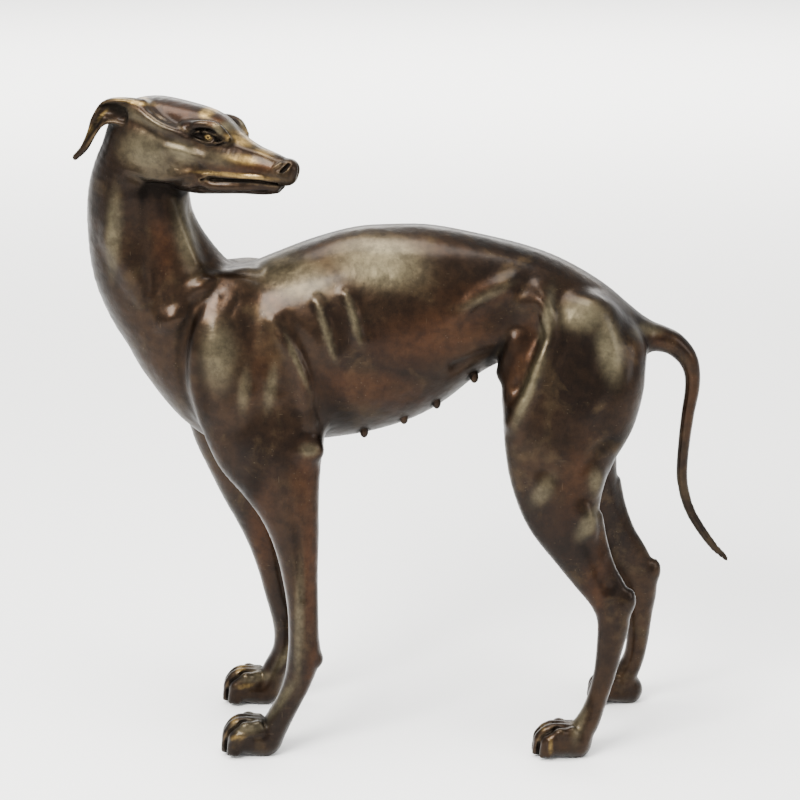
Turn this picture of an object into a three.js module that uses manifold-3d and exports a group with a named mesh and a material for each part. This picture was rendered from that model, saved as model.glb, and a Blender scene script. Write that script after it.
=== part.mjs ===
// A standing greyhound bitch in cast bronze, looking back over her near shoulder.
// Millimetres, +Z up, standing on z = 0, facing -X with her near side towards -Y.
// The figure is kept as thousandths of its own height, so every station scales with HEIGHT.
import * as THREE from "three";
import { edgeTable, triTable } from "three/addons/objects/MarchingCubes.js";
import Module from "manifold-3d";

// Driving sizes
const HEIGHT = 800;
const FACETS = 8600;
const TEAT_RADIUS = 4.4;

const THOUSANDTH = HEIGHT / 1000;
const NEAR = -1;
const FAR = 1;

// Vectors as arrays of three
const add = (a, b) => [a[0] + b[0], a[1] + b[1], a[2] + b[2]];
const subtract = (a, b) => [a[0] - b[0], a[1] - b[1], a[2] - b[2]];
const times = (a, s) => [a[0] * s, a[1] * s, a[2] * s];
const dot = (a, b) => a[0] * b[0] + a[1] * b[1] + a[2] * b[2];
const cross = (a, b) => [
  a[1] * b[2] - a[2] * b[1],
  a[2] * b[0] - a[0] * b[2],
  a[0] * b[1] - a[1] * b[0],
];
const unit = (a) => times(a, 1 / Math.sqrt(dot(a, a)));

// The body is a list of soft volumes. Each one melts into those before it over its blend length.
const volumes = [];

// A tapered length of oval section between two stations [x, y, z, half depth, half width].
// The width lies along the side direction and the depth across it.
function taper(start, end, side, margin) {
  const from = start.slice(0, 3);
  const along = subtract(end.slice(0, 3), from);
  const length = Math.sqrt(dot(along, along));
  const axis = times(along, 1 / length);
  const wideAxis = unit(subtract(side, times(axis, dot(side, axis))));
  const deepAxis = cross(wideAxis, axis);
  const depth = Math.max(start[3], end[3]) + margin;
  const width = Math.max(start[4], end[4]) + margin;
  const reach = [0, 1, 2].map((i) => Math.hypot(
    deepAxis[i] * depth, wideAxis[i] * width, axis[i] * Math.min(depth, width)));
  const distance = (x, y, z) => {
    const dx = x - from[0];
    const dy = y - from[1];
    const dz = z - from[2];
    const station = dx * axis[0] + dy * axis[1] + dz * axis[2];
    const share = Math.min(Math.max(station / length, 0), 1);
    const deep = start[3] + (end[3] - start[3]) * share;
    const wide = start[4] + (end[4] - start[4]) * share;
    const over = station - share * length;
    const u = dx * deepAxis[0] + dy * deepAxis[1] + dz * deepAxis[2];
    const v = dx * wideAxis[0] + dy * wideAxis[1] + dz * wideAxis[2];
    const cap = Math.min(deep, wide);
    const radius = Math.sqrt(u * u + v * v + over * over);
    const oval = Math.sqrt((u / deep) ** 2 + (v / wide) ** 2 + (over / cap) ** 2);
    return oval < 1e-9 ? -cap : radius - radius / oval;
  };
  return {
    low: [0, 1, 2].map((i) => Math.min(start[i], end[i]) - reach[i]),
    high: [0, 1, 2].map((i) => Math.max(start[i], end[i]) + reach[i]),
    distance,
  };
}

// More stations between the given ones, on a smooth curve through them.
function throughStations(stations, parts) {
  const path = [];
  const last = stations.length - 1;
  for (let i = 0; i < last; i++) {
    const before = stations[Math.max(i - 1, 0)];
    const after = stations[Math.min(i + 2, last)];
    for (let n = 0; n < parts; n++) {
      const t = n / parts;
      path.push(stations[i].map((b, k) => {
        const a = before[k];
        const c = stations[i + 1][k];
        const d = after[k];
        const curve = 2 * a - 5 * b + 4 * c - d + t * (3 * (b - c) + d - a);
        return b + 0.5 * t * (c - a + t * curve);
      }));
    }
  }
  path.push(stations[last]);
  return path;
}

function addVolume(pieces, blend, cut) {
  volumes.push({
    pieces,
    blend,
    cut,
    low: [0, 1, 2].map((i) => Math.min(...pieces.map((piece) => piece.low[i]))),
    high: [0, 1, 2].map((i) => Math.max(...pieces.map((piece) => piece.high[i]))),
  });
}

// A limb through stations; with cut it is a groove instead.
function limb(stations, { blend = 10, parts = 3, side = [0, 1, 0], cut = false } = {}) {
  const path = throughStations(stations, parts);
  const pieces = path.slice(1).map((end, i) => taper(path[i], end, side, blend + 6));
  addVolume(pieces, blend, cut);
}

// An oval ball: half length along its axis, half width along the side direction, half depth.
function ball(centre, [long, wide, deep], options = {}) {
  const { blend = 10, along = [1, 0, 0], side = [0, 1, 0], cut = false } = options;
  const a = unit(along);
  const w = unit(subtract(side, times(a, dot(side, a))));
  const d = cross(a, w);
  const reach = Math.max(long, wide, deep) + blend + 6;
  const distance = (x, y, z) => {
    const dx = x - centre[0];
    const dy = y - centre[1];
    const dz = z - centre[2];
    const p = dx * a[0] + dy * a[1] + dz * a[2];
    const q = dx * w[0] + dy * w[1] + dz * w[2];
    const r = dx * d[0] + dy * d[1] + dz * d[2];
    const radius = Math.sqrt(p * p + q * q + r * r);
    const oval = Math.sqrt((p / long) ** 2 + (q / wide) ** 2 + (r / deep) ** 2);
    return oval < 1e-9 ? -Math.min(long, wide, deep) : radius - radius / oval;
  };
  const low = centre.map((c) => c - reach);
  const high = centre.map((c) => c + reach);
  addVolume([{ low, high, distance }], blend, cut);
}

const onBothSides = (make) => [NEAR, FAR].forEach(make);
const sided = (side, stations) => stations.map(([x, y, ...rest]) => [x, side * y, ...rest]);

// A point beside a leg at a given height, forward or back of its line and out from it.
function beside(path, height, back, out) {
  const below = path.findIndex((station) => station[2] <= height);
  const [a, b] = [path[below - 1], path[below]];
  const share = (a[2] - height) / (a[2] - b[2]);
  return [a[0] + (b[0] - a[0]) * share + back, a[1] + (b[1] - a[1]) * share + out, height];
}

// A round muscle or tendon, of one thickness or of one at each point
const cord = (points, thickness) => points.map((point, n) => {
  const radius = thickness[n] ?? thickness;
  return [...point, radius, radius];
});

// Trunk: deep chest, arched loin, falling croup
limb([
  [-296, 0, 632, 100, 64],
  [-248, 0, 613, 127, 82],
  [-200, 0, 609, 139, 91],
  [-140, 0, 624, 148, 96],
  [-80, 0, 640, 154, 97],
  [-20, 0, 657, 152, 95],
  [40, 0, 675, 135, 88],
  [95, 0, 686, 112, 78],
  [150, 0, 690, 93, 71],
  [205, 0, 679, 84, 72],
  [260, 0, 655, 77, 70],
  [305, 0, 637, 62, 56],
  [335, 0, 630, 44, 40],
], { blend: 26 });

// Neck, rising and turning towards the near side
limb([
  [-262, 0, 632, 100, 76],
  [-322, 0, 676, 100, 70],
  [-365, -2, 742, 92, 64],
  [-383, -6, 808, 80, 60],
  [-384, -12, 865, 73, 57],
  [-378, -20, 910, 60, 54],
  [-362, -27, 940, 52, 50],
], { blend: 26 });

// Breast between the forelegs
limb([
  [-337, 0, 614, 53, 50],
  [-295, 0, 549, 48, 52],
  [-250, 0, 508, 40, 44],
  [-190, 0, 492, 28, 34],
], { blend: 30 });

// Forelegs from the shoulder blade to the pastern: [x, y, z, half depth, half width]
const NEAR_FORELEG = [
  [-225, 56, 600, 84, 34],
  [-206, 64, 535, 92, 36],
  [-194, 72, 485, 84, 35],
  [-180, 78, 440, 64, 32],
  [-167, 82, 395, 47, 29],
  [-157, 85, 345, 35.5, 25],
  [-151, 87, 290, 27.5, 21.5],
  [-147, 88, 235, 23.5, 19.5],
  [-146, 90, 190, 23, 19.5],
  [-146, 91, 157, 25, 21],
  [-156, 93, 118, 21, 18.5],
  [-169, 95, 88, 19, 18],
  [-186, 97, 56, 20, 20],
  [-202, 98, 26, 22, 22],
];
const FAR_FORELEG = [
  [-245, 56, 600, 84, 34],
  [-248, 64, 535, 90, 36],
  [-249, 72, 475, 76, 35],
  [-244, 78, 425, 61, 32],
  [-235, 82, 375, 48, 29],
  [-223, 85, 332, 39, 25],
  [-211, 87, 286, 31, 21.5],
  [-200, 88, 237, 26, 19.5],
  [-192, 90, 195, 24, 19.5],
  [-181, 91, 155, 25, 21],
  [-181, 93, 120, 21, 18.5],
  [-188, 95, 90, 18.5, 18],
  [-203, 97, 56, 20, 20],
  [-214, 98, 26, 22, 22],
];
limb(sided(NEAR, NEAR_FORELEG), { blend: 24 });
limb(sided(FAR, FAR_FORELEG), { blend: 24 });

// Hind legs from the hip to the foot
const NEAR_HIND_LEG = [
  [262, 40, 662, 74, 38],
  [256, 54, 600, 100, 46],
  [249, 64, 545, 99, 44],
  [238, 74, 490, 84, 38],
  [236, 80, 435, 71, 32],
  [243, 85, 385, 57, 27],
  [264, 88, 335, 42, 22.5],
  [288, 90, 290, 32, 19],
  [312, 92, 252, 27, 17],
  [323, 93, 218, 25, 17],
  [318, 95, 170, 20, 15.5],
  [310, 97, 125, 16.5, 14.5],
  [299, 99, 85, 15.5, 15.5],
  [287, 101, 54, 18, 18],
  [272, 103, 32, 20, 20],
];
const FAR_HIND_LEG = [
  [264, 40, 662, 74, 38],
  [266, 54, 600, 96, 46],
  [270, 64, 545, 90, 44],
  [270, 74, 490, 80, 38],
  [275, 80, 435, 66, 32],
  [289, 85, 380, 54, 27],
  [312, 88, 328, 42, 22.5],
  [338, 90, 283, 36, 19],
  [363, 92, 245, 34, 17],
  [381, 93, 205, 29, 17],
  [382, 95, 160, 23, 15.5],
  [382, 97, 115, 18, 14.5],
  [377, 99, 80, 17, 15.5],
  [366, 101, 52, 19, 18],
  [354, 103, 32, 20, 20],
];
limb(sided(NEAR, NEAR_HIND_LEG), { blend: 24 });
limb(sided(FAR, FAR_HIND_LEG), { blend: 24 });

// Muscles and tendons that ride on the legs
const LEGS = [
  { side: NEAR, fore: NEAR_FORELEG, hind: NEAR_HIND_LEG, hock: [343, -93, 244] },
  { side: FAR, fore: FAR_FORELEG, hind: FAR_HIND_LEG, hock: [402, 93, 226] },
];
for (const { side, fore, hind, hock } of LEGS) {
  const onFore = (height, back, out) => beside(sided(side, fore), height, back, side * out);
  const onHind = (height, back, out) => beside(sided(side, hind), height, back, side * out);
  const bump = (centre, sizes, slope = 0) => ball(centre, sizes, { blend: 12, along: [slope, 0, -1] });
  bump(onFore(572, -1, 22), [32, 14, 15], -0.1);
  bump(onFore(576, 34, 22), [28, 12, 12], 0.1);
  limb(cord([onFore(590, 84, 30), onFore(560, 78, 26), onFore(525, 70, 22)], 9), { blend: 12 });
  ball(onFore(487, 57, 22), [18, 15, 20], { blend: 8, along: [0, 0, 1] });
  limb(cord([onFore(400, 8, 30), onFore(335, 4, 26), onFore(255, 2, 21)], 4), { blend: 9, cut: true });
  ball(onFore(152, 23, 0), [10, 9, 7], { blend: 8, along: [0, 0, 1] });
  const buttock = [onHind(620, 71, -4), onHind(575, 67, 0), onHind(525, 64, -2), onHind(470, 52, 2)];
  limb(cord(buttock, [36, 38, 34, 20]), { blend: 24 });
  limb(cord([onHind(660, 38, 18), onHind(625, 46, 26), onHind(560, 32, 28), onHind(500, 30, 18)], 16), {
    blend: 16,
  });
  limb(cord([onHind(494, 84, 28), onHind(500, 66, 34), onHind(484, 46, 37), onHind(458, 36, 36)], 4), {
    blend: 10,
    cut: true,
  });
  const edge = [[200, 56, 716], [214, 68, 697]].map(([x, y, z]) => [x, side * y, z]);
  edge.push(onHind(655, -40, 34), onHind(618, -51, 34), onHind(578, -62, 28), onHind(526, -76, 17));
  limb(cord(edge, 13), { blend: 12 });
  limb(cord([onHind(658, -62, 46), onHind(618, -74, 44), onHind(580, -82, 34)], 8), { blend: 16, cut: true });
  bump(onHind(425, -20, 20), [30, 13, 18], 0.4);
  bump(onHind(440, 52, 16), [26, 12, 14], -0.1);
  bump(onHind(378, 30, 16), [34, 12, 17], 0.3);
  const tendon = [onHind(380, 50, 5), onHind(340, 41, 3), onHind(300, 33, 2), onHind(272, 31, 1), hock];
  limb(cord(tendon, 8.5), { blend: 6 });
  limb(cord([onHind(345, 20, 25), onHind(305, 15, 22), onHind(272, 12, 19)], 6), { blend: 9, cut: true });
  ball(hock, [22, 10, 12], { blend: 10, along: [-0.25, 0, -1] });
}

// Muscles of the body, alike on both sides
onBothSides((side) => {
  const raise = (points, thickness, blend) => limb(cord(sided(side, points), thickness), { blend });
  const groove = (points, thickness, blend) => {
    limb(cord(sided(side, points), thickness), { blend, cut: true });
  };
  const mass = ([x, y, z], sizes, along, blend) => ball([x, side * y, z], sizes, { blend, along });
  // Shoulder blade and the border of the neck in front of it
  limb(sided(side, [
    [-236, 42, 720, 34, 20],
    [-262, 56, 662, 46, 28],
    [-266, 60, 605, 50, 28],
    [-252, 64, 552, 46, 28],
  ]), { blend: 26 });
  groove([[-256, 66, 758], [-297, 74, 702], [-319, 78, 640], [-322, 74, 578], [-310, 66, 528]], 7, 14);
  mass([-270, 78, 624], [44, 14, 26], [0, 0, 1], 14);
  mass([-226, 34, 728], [18, 14, 24], [0, 0, 1], 16);
  raise([[-186, 76, 676], [-160, 86, 638], [-144, 90, 604], [-136, 88, 566]], 9, 12);
  groove([[-164, 98, 682], [-138, 104, 640], [-122, 105, 600], [-116, 100, 556]], 9, 14);
  // Neck: the long ridge of the nape, the valley beside it and the ridge behind the throat
  limb(sided(side, [
    [-404, 40, 868, 18, 15],
    [-407, 45, 800, 22, 17],
    [-389, 51, 745, 21, 16],
    [-372, 57, 712, 14, 13],
  ]), { blend: 16 });
  groove([[-361, 68, 866], [-357, 71, 800], [-357, 74, 745], [-360, 78, 706]], [6, 10, 11, 9], 20);
  raise([[-334, 38, 838], [-319, 42, 794], [-305, 48, 757]], 12, 16);
  mass([-294, 51, 724], [24, 15, 12], [0.8, 0, 0.6], 16);
  mass([-335, 62, 678], [24, 13, 13], [0.75, 0, 0.65], 14);
  // Ribs seen behind the shoulder
  raise([[-122, 78, 708], [-107, 87, 676], [-97, 92, 628]], 8, 9);
  raise([[-79, 80, 718], [-67, 87, 692], [-58, 93, 650]], 7, 9);
  // Flank: its upper ridge, the hollow, the hip bone, the fold and the line of the belly
  raise([[86, 71, 686], [110, 69, 708], [139, 61, 721], [164, 53, 728]], 10, 16);
  ball([146, side * 90, 674], [44, 18, 36], { blend: 26, cut: true });
  mass([188, 58, 702], [15, 14, 17], [1, 0, 0], 12);
  raise([[172, 62, 646], [160, 57, 612], [154, 50, 592]], 10, 16);
  groove([[84, 68, 606], [112, 66, 614], [138, 64, 622]], 5, 12);
  // Haunch
  mass([276, 55, 668], [44, 28, 42], [1, 0, 0.2], 22);
});

// Paws: a pad under four knuckled toes, the outer pair set back
function paw(tip, heel, y, knuckle) {
  const length = heel - tip;
  const at = (share) => tip + length * share;
  limb([
    [at(0.8), y, 20, 24, 22],
    [at(0.55), y, knuckle * 0.42, knuckle * 0.42, 28],
    [at(0.32), y, 22, 20, 27],
  ], { blend: 10 });
  for (const place of [-1.5, -0.5, 0.5, 1.5]) {
    const back = Math.abs(place) > 1 ? 0.12 : 0;
    const low = Math.abs(place) > 1 ? 6 : 0;
    const across = y + place * 13;
    limb([
      [at(0.72), y + place * 9, knuckle - 16, 14, 8.5],
      [at(0.34 + back), across, knuckle - 14 - low, 14, 9],
      [at(0.17 + back), across, knuckle * 0.52 - low / 2, 13, 9],
      [at(0.14 + back), across, 12, 10, 8.5],
    ], { blend: 4 });
  }
}
paw(-273, -192, -98, 62);
paw(-286, -204, 102, 60);
paw(203, 288, -104, 54);
paw(305, 388, 106, 52);

// Tail
limb([
  [330, 0, 645, 34, 30],
  [370, 0, 637, 24, 22],
  [393, 0, 632, 20, 19],
  [411, 0, 625, 18, 17],
  [427, 0, 611, 16, 15],
  [437, 0, 595, 14, 13.5],
  [442, 0, 575, 12, 12],
  [442, 0, 550, 11, 11],
  [437, 0, 515, 10, 10],
  [433, 0, 470, 9, 9],
  [431, 0, 425, 8.5, 8.5],
  [435, 0, 393, 8, 8],
  [446, 0, 360, 7.5, 7.5],
  [465, 0, 328, 7, 7],
  [487, 0, 299, 6, 6],
  [505, 0, 282, 4.5, 4.5],
], { blend: 14 });

// Head, in its own frame: s forward along the muzzle, l towards her left, h up
const HEAD_TURN = THREE.MathUtils.degToRad(25);
const HEAD_DROP = THREE.MathUtils.degToRad(8);
const SKULL = [-345, -30, 945];
const forward = [
  Math.cos(HEAD_TURN) * Math.cos(HEAD_DROP),
  -Math.sin(HEAD_TURN) * Math.cos(HEAD_DROP),
  -Math.sin(HEAD_DROP),
];
const leftward = [Math.sin(HEAD_TURN), Math.cos(HEAD_TURN), 0];
const upward = cross(forward, leftward);
const inHead = (s, l, h) =>
  add(SKULL, add(times(forward, s), add(times(leftward, l), times(upward, h))));
const headLimb = (stations, options = {}) => limb(
  stations.map(([s, l, h, deep, wide]) => [...inHead(s, l, h), deep, wide]),
  { side: leftward, ...options });
const headBall = (centre, sizes, options = {}) => ball(inHead(...centre), sizes, {
  side: leftward,
  ...options,
  along: subtract(inHead(...(options.along ?? [1, 0, 0])), SKULL),
});

// Cranium
headLimb([
  [-40, 0, 2, 40, 42],
  [0, 0, 4, 51, 49],
  [40, 0, 4, 52, 50],
  [78, 0, 2, 50, 44],
  [104, 0, -4, 39, 37],
  [130, 0, -12, 31, 31],
], { blend: 24 });
// Upper muzzle and nose
headLimb([
  [95, 0, -14, 38, 37],
  [130, 0, -13, 33, 30],
  [160, 0, -13, 28, 25],
  [190, 0, -13, 23, 21],
  [206, 0, -13, 19, 18],
], { blend: 12 });
headBall([209, 0, -6], [16, 14, 12], { blend: 5 });
// Lower jaw
headLimb([
  [30, 0, -46, 28, 36],
  [70, 0, -56, 16, 32],
  [100, 0, -56, 10, 27],
  [140, 0, -50, 7.5, 19],
  [176, 0, -44.5, 7, 14],
  [194, 0, -40, 6, 11],
], { blend: 8 });

// Cheeks, brows, eyes and lips, alike on both sides
onBothSides((side) => {
  const onHead = (stations) => stations.map(([s, l, ...rest]) => [s, side * l, ...rest]);
  headBall([26, side * 38, -20], [50, 17, 38], { blend: 16 });
  headLimb(onHead([
    [-28, 44, 38, 8, 8],
    [8, 50, 30, 7, 7],
    [42, 50, 20, 7, 7],
    [66, 45, 16, 6, 6],
  ]), { blend: 12 });
  headBall([32, side * 58, 46], [34, 12, 12], { blend: 14, cut: true });
  headLimb(onHead([
    [60, 40, 30, 6, 6],
    [82, 40, 36, 6, 6],
    [104, 36, 34, 5.5, 5.5],
    [120, 28, 22, 5, 5],
  ]), { blend: 10 });
  headBall([96, side * 44, 19], [20, 8, 10], { blend: 7, cut: true });
  headBall([95, side * 34, 18], [14, 11, 10], { blend: 3 });
  headLimb(onHead([
    [38, 50, -4, 5, 5],
    [68, 46, -8, 5, 5],
    [94, 38, -12, 4, 4],
  ]), { blend: 12 });
  headLimb(onHead([
    [86, 31, -40, 4, 4],
    [130, 26, -33, 4, 4],
    [172, 20, -29, 4, 4],
    [198, 13, -26, 4, 4],
  ]), { blend: 6 });
  headLimb(onHead([
    [90, 36, -47, 3, 6],
    [125, 29, -42, 3, 6],
    [165, 23, -38, 3, 6],
    [200, 14, -33, 3, 6],
  ]), { blend: 3, cut: true });
});

// Near ear, folded back and open towards the viewer
headLimb([
  [-16, -36, 36, 18, 13],
  [-42, -42, 31, 21, 10],
  [-64, -47, 27, 18, 8],
  [-78, -51, 11, 10, 7],
  [-85, -54, -8, 6, 6],
  [-94, -57, -31, 5, 5],
  [-107, -60, -48, 4, 4],
], { blend: 8 });
headLimb([
  [-38, -54, 26, 13, 7],
  [-60, -57, 24, 11, 6],
  [-74, -60, 10, 5, 5],
], { blend: 4, cut: true });
// Far ear, lying lower against the neck
headLimb([
  [-16, 36, 24, 18, 13],
  [-38, 44, 8, 17, 10],
  [-56, 50, -8, 14, 8],
  [-70, 54, -28, 9, 7],
  [-80, 57, -46, 6, 6],
  [-90, 60, -64, 4, 4],
], { blend: 8 });

// The field is sampled on planes set close at the head and paws and wider between.
function planes(from, ...spans) {
  const list = [from];
  for (const [to, step] of spans) {
    const start = list[list.length - 1];
    const count = Math.ceil((to - start) / step);
    for (let n = 1; n <= count; n++) list.push(start + (to - start) * n / count);
  }
  return list;
}

function sampleField([xs, ys, zs]) {
  const OUTSIDE = 60;
  const field = new Float32Array(xs.length * ys.length * zs.length).fill(OUTSIDE);
  const own = new Float32Array(field.length);
  const axes = [xs, ys, zs];
  // The outermost planes stay empty, so that the skin always closes.
  const span = (box) => axes.map((list, i) => {
    let first = 1;
    while (first < list.length - 1 && list[first] < box.low[i]) first++;
    let last = list.length - 2;
    while (last > 0 && list[last] > box.high[i]) last--;
    return [first, last];
  });
  const eachRow = ([, [j0, j1], [k0, k1]], visit) => {
    for (let k = k0; k <= k1; k++) {
      for (let j = j0; j <= j1; j++) visit((k * ys.length + j) * xs.length, ys[j], zs[k]);
    }
  };
  const melt = (a, b, blend) => {
    const near = Math.max(blend - Math.abs(a - b), 0);
    return Math.min(a, b) - near * near / (4 * blend);
  };
  for (const { pieces, blend, cut, low, high } of volumes) {
    const whole = span({ low, high });
    const [[i0, i1]] = whole;
    eachRow(whole, (row) => own.fill(OUTSIDE, row + i0, row + i1 + 1));
    for (const piece of pieces) {
      const part = span(piece);
      const [[p0, p1]] = part;
      eachRow(part, (row, y, z) => {
        for (let i = p0; i <= p1; i++) {
          own[row + i] = melt(own[row + i], piece.distance(xs[i], y, z), 2);
        }
      });
    }
    eachRow(whole, (row) => {
      for (let i = row + i0; i <= row + i1; i++) {
        if (own[i] >= OUTSIDE) continue;
        field[i] = cut ? -melt(-field[i], own[i], blend) : melt(field[i], own[i], blend);
      }
    });
  }
  return field;
}

// Marching cubes over the planes: a closed skin where the field crosses zero.
function skin(axes) {
  const field = sampleField(axes);
  const [nx, ny, nz] = axes.map((list) => list.length);
  const corners = [[0, 0, 0], [1, 0, 0], [1, 1, 0], [0, 1, 0], [0, 0, 1], [1, 0, 1], [1, 1, 1], [0, 1, 1]];
  const edges = [];
  for (const ring of [0, 4]) {
    for (let c = 0; c < 4; c++) edges.push([ring + c, ring + (c + 1) % 4]);
  }
  for (let c = 0; c < 4; c++) edges.push([c, c + 4]);
  const offsets = corners.map(([i, j, k]) => (k * ny + j) * nx + i);
  const points = [];
  const triangles = [];
  const found = new Map();
  const crossing = (edge, i, j, k) => {
    const [a, b] = edges[edge].map((c) => corners[c]);
    const cell = (k * ny + j) * nx + i;
    const [ca, cb] = edges[edge].map((c) => cell + offsets[c]);
    const direction = a.findIndex((v, n) => v !== b[n]);
    const key = Math.min(ca, cb) * 3 + direction;
    if (!found.has(key)) {
      const share = field[ca] / (field[ca] - field[cb]);
      found.set(key, points.length);
      points.push([i, j, k].map((v, n) => {
        const start = axes[n][v + a[n]];
        return start + (axes[n][v + b[n]] - start) * share;
      }));
    }
    return found.get(key);
  };
  for (let k = 0; k + 1 < nz; k++) {
    for (let j = 0; j + 1 < ny; j++) {
      for (let i = 0; i + 1 < nx; i++) {
        const cell = (k * ny + j) * nx + i;
        let code = 0;
        for (let c = 0; c < 8; c++) {
          if (field[cell + offsets[c]] < 0) code |= 1 << c;
        }
        if (!edgeTable[code]) continue;
        for (let t = code * 16; triTable[t] !== -1; t += 3) {
          triangles.push([2, 1, 0].map((n) => crossing(triTable[t + n], i, j, k)));
        }
      }
    }
  }
  return { points, triangles };
}

// Facets are merged where the skin is flattest until no more than the wanted number is left.
// Each corner keeps the sum of squared distances to the planes that have met in it.
function mergeFacets({ points, triangles }, wanted) {
  const quadrics = points.map(() => new Float64Array(10));
  const around = points.map(() => new Set());
  const normalOf = ([a, b, c]) => cross(
    subtract(points[b], points[a]), subtract(points[c], points[a]));
  triangles.forEach((triangle, t) => {
    const normal = normalOf(triangle);
    const area = Math.sqrt(dot(normal, normal)) || 1e-12;
    const [a, b, c] = times(normal, 1 / area);
    const d = -dot([a, b, c], points[triangle[0]]);
    const own = [a * a, a * b, a * c, a * d, b * b, b * c, b * d, c * c, c * d, d * d];
    for (const corner of triangle) {
      around[corner].add(t);
      own.forEach((value, n) => { quadrics[corner][n] += value * area; });
    }
  });
  const cost = (q, [x, y, z]) => q[0] * x * x + 2 * q[1] * x * y + 2 * q[2] * x * z + 2 * q[3] * x
    + q[4] * y * y + 2 * q[5] * y * z + 2 * q[6] * y + q[7] * z * z + 2 * q[8] * z + q[9];
  const best = (q, ends) => {
    const middle = times(add(...ends), 0.5);
    const det = q[0] * (q[4] * q[7] - q[5] * q[5]) - q[1] * (q[1] * q[7] - q[5] * q[2])
      + q[2] * (q[1] * q[5] - q[4] * q[2]);
    const size = q[0] + q[4] + q[7];
    const choices = [middle, ...ends];
    if (Math.abs(det) > 1e-6 * size ** 3) {
      const solved = [
        -(q[3] * (q[4] * q[7] - q[5] * q[5]) - q[1] * (q[6] * q[7] - q[5] * q[8])
          + q[2] * (q[6] * q[5] - q[4] * q[8])) / det,
        -(q[0] * (q[6] * q[7] - q[8] * q[5]) - q[3] * (q[1] * q[7] - q[5] * q[2])
          + q[2] * (q[1] * q[8] - q[6] * q[2])) / det,
        -(q[0] * (q[4] * q[8] - q[5] * q[6]) - q[1] * (q[1] * q[8] - q[6] * q[2])
          + q[3] * (q[1] * q[5] - q[4] * q[2])) / det,
      ];
      const away = subtract(solved, middle);
      const edge = subtract(...ends);
      if (dot(away, away) < 4 * dot(edge, edge)) choices.push(solved);
    }
    return choices.reduce((kept, point) => (cost(q, point) < cost(q, kept) ? point : kept));
  };

  // A heap of edges by cost; an entry is stale once one of its ends has moved on.
  const heap = [];
  const stamp = new Int32Array(points.length);
  const push = (entry) => {
    let n = heap.push(entry) - 1;
    while (n > 0 && heap[(n - 1) >> 1].cost > entry.cost) {
      heap[n] = heap[(n - 1) >> 1];
      n = (n - 1) >> 1;
    }
    heap[n] = entry;
  };
  const pop = () => {
    const top = heap[0];
    const last = heap.pop();
    if (heap.length === 0) return top;
    let n = 0;
    for (;;) {
      let child = 2 * n + 1;
      if (child >= heap.length) break;
      if (child + 1 < heap.length && heap[child + 1].cost < heap[child].cost) child++;
      if (heap[child].cost >= last.cost) break;
      heap[n] = heap[child];
      n = child;
    }
    heap[n] = last;
    return top;
  };
  const offer = (a, b) => {
    const q = quadrics[a].map((value, n) => value + quadrics[b][n]);
    const point = best(q, [points[a], points[b]]);
    const edge = subtract(points[a], points[b]);
    push({ a, b, point, stamps: [stamp[a], stamp[b]], cost: cost(q, point) + 1e-5 * dot(edge, edge) });
  };
  const neighbours = (corner) => {
    const set = new Set();
    for (const t of around[corner]) {
      for (const other of triangles[t]) {
        if (other !== corner) set.add(other);
      }
    }
    return set;
  };
  points.forEach((point, a) => {
    for (const b of neighbours(a)) {
      if (a < b) offer(a, b);
    }
  });

  let left = triangles.length;
  while (left > wanted && heap.length) {
    const { a, b, point, stamps } = pop();
    if (stamp[a] !== stamps[0] || stamp[b] !== stamps[1]) continue;
    const ring = neighbours(a);
    const shared = [...neighbours(b)].filter((other) => ring.has(other));
    if (shared.length !== 2) continue;
    const turnsOver = [a, b].some((end) => [...around[end]].some((t) => {
      const triangle = triangles[t];
      if (triangle.includes(a) && triangle.includes(b)) return false;
      const before = normalOf(triangle);
      const corner = triangle.map((v) => (v === end ? point : points[v]));
      const after = cross(subtract(corner[1], corner[0]), subtract(corner[2], corner[0]));
      return dot(before, after) < 0.25 * Math.sqrt(dot(before, before) * dot(after, after));
    }));
    if (turnsOver) continue;
    points[a] = point;
    quadrics[b].forEach((value, n) => { quadrics[a][n] += value; });
    for (const t of around[b]) {
      if (triangles[t].includes(a)) {
        triangles[t].forEach((corner) => { if (corner !== b) around[corner].delete(t); });
        triangles[t] = null;
        left--;
      } else {
        triangles[t][triangles[t].indexOf(b)] = a;
        around[a].add(t);
      }
    }
    around[b].clear();
    stamp[a]++;
    stamp[b] = -1;
    for (const other of neighbours(a)) offer(a, other);
  }
  const number = new Map();
  const kept = triangles.filter(Boolean);
  kept.flat().forEach((corner) => { if (!number.has(corner)) number.set(corner, number.size); });
  return {
    points: [...number.keys()].map((corner) => points[corner]),
    triangles: kept.map((triangle) => triangle.map((corner) => number.get(corner))),
  };
}

// Solids for joining and cutting
const wasm = await Module();
wasm.setup();
function solidFrom(points, triangles) {
  return new wasm.Manifold(new wasm.Mesh({
    numProp: 3,
    vertProperties: new Float32Array(points.flat()),
    triVerts: new Uint32Array(triangles.flat()),
  }));
}
function solidOf(geometry, place) {
  const placed = geometry.clone().applyMatrix4(place);
  const position = placed.getAttribute("position");
  const number = new Map();
  const points = [];
  const corner = (index) => {
    const point = [position.getX(index), position.getY(index), position.getZ(index)];
    const key = point.map((value) => value.toFixed(4)).join();
    if (!number.has(key)) {
      number.set(key, points.length);
      points.push(point);
    }
    return number.get(key);
  };
  const triangles = [];
  for (let i = 0; i < placed.index.count; i += 3) {
    const triangle = [0, 1, 2].map((n) => corner(placed.index.getX(i + n)));
    if (new Set(triangle).size === 3) triangles.push(triangle);
  }
  return solidFrom(points, triangles);
}
function meshOf(solid) {
  const { vertProperties, triVerts } = solid.getMesh();
  const geometry = new THREE.BufferGeometry();
  geometry.setAttribute("position", new THREE.Float32BufferAttribute(vertProperties, 3));
  geometry.setIndex(Array.from(triVerts));
  return geometry;
}

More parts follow.
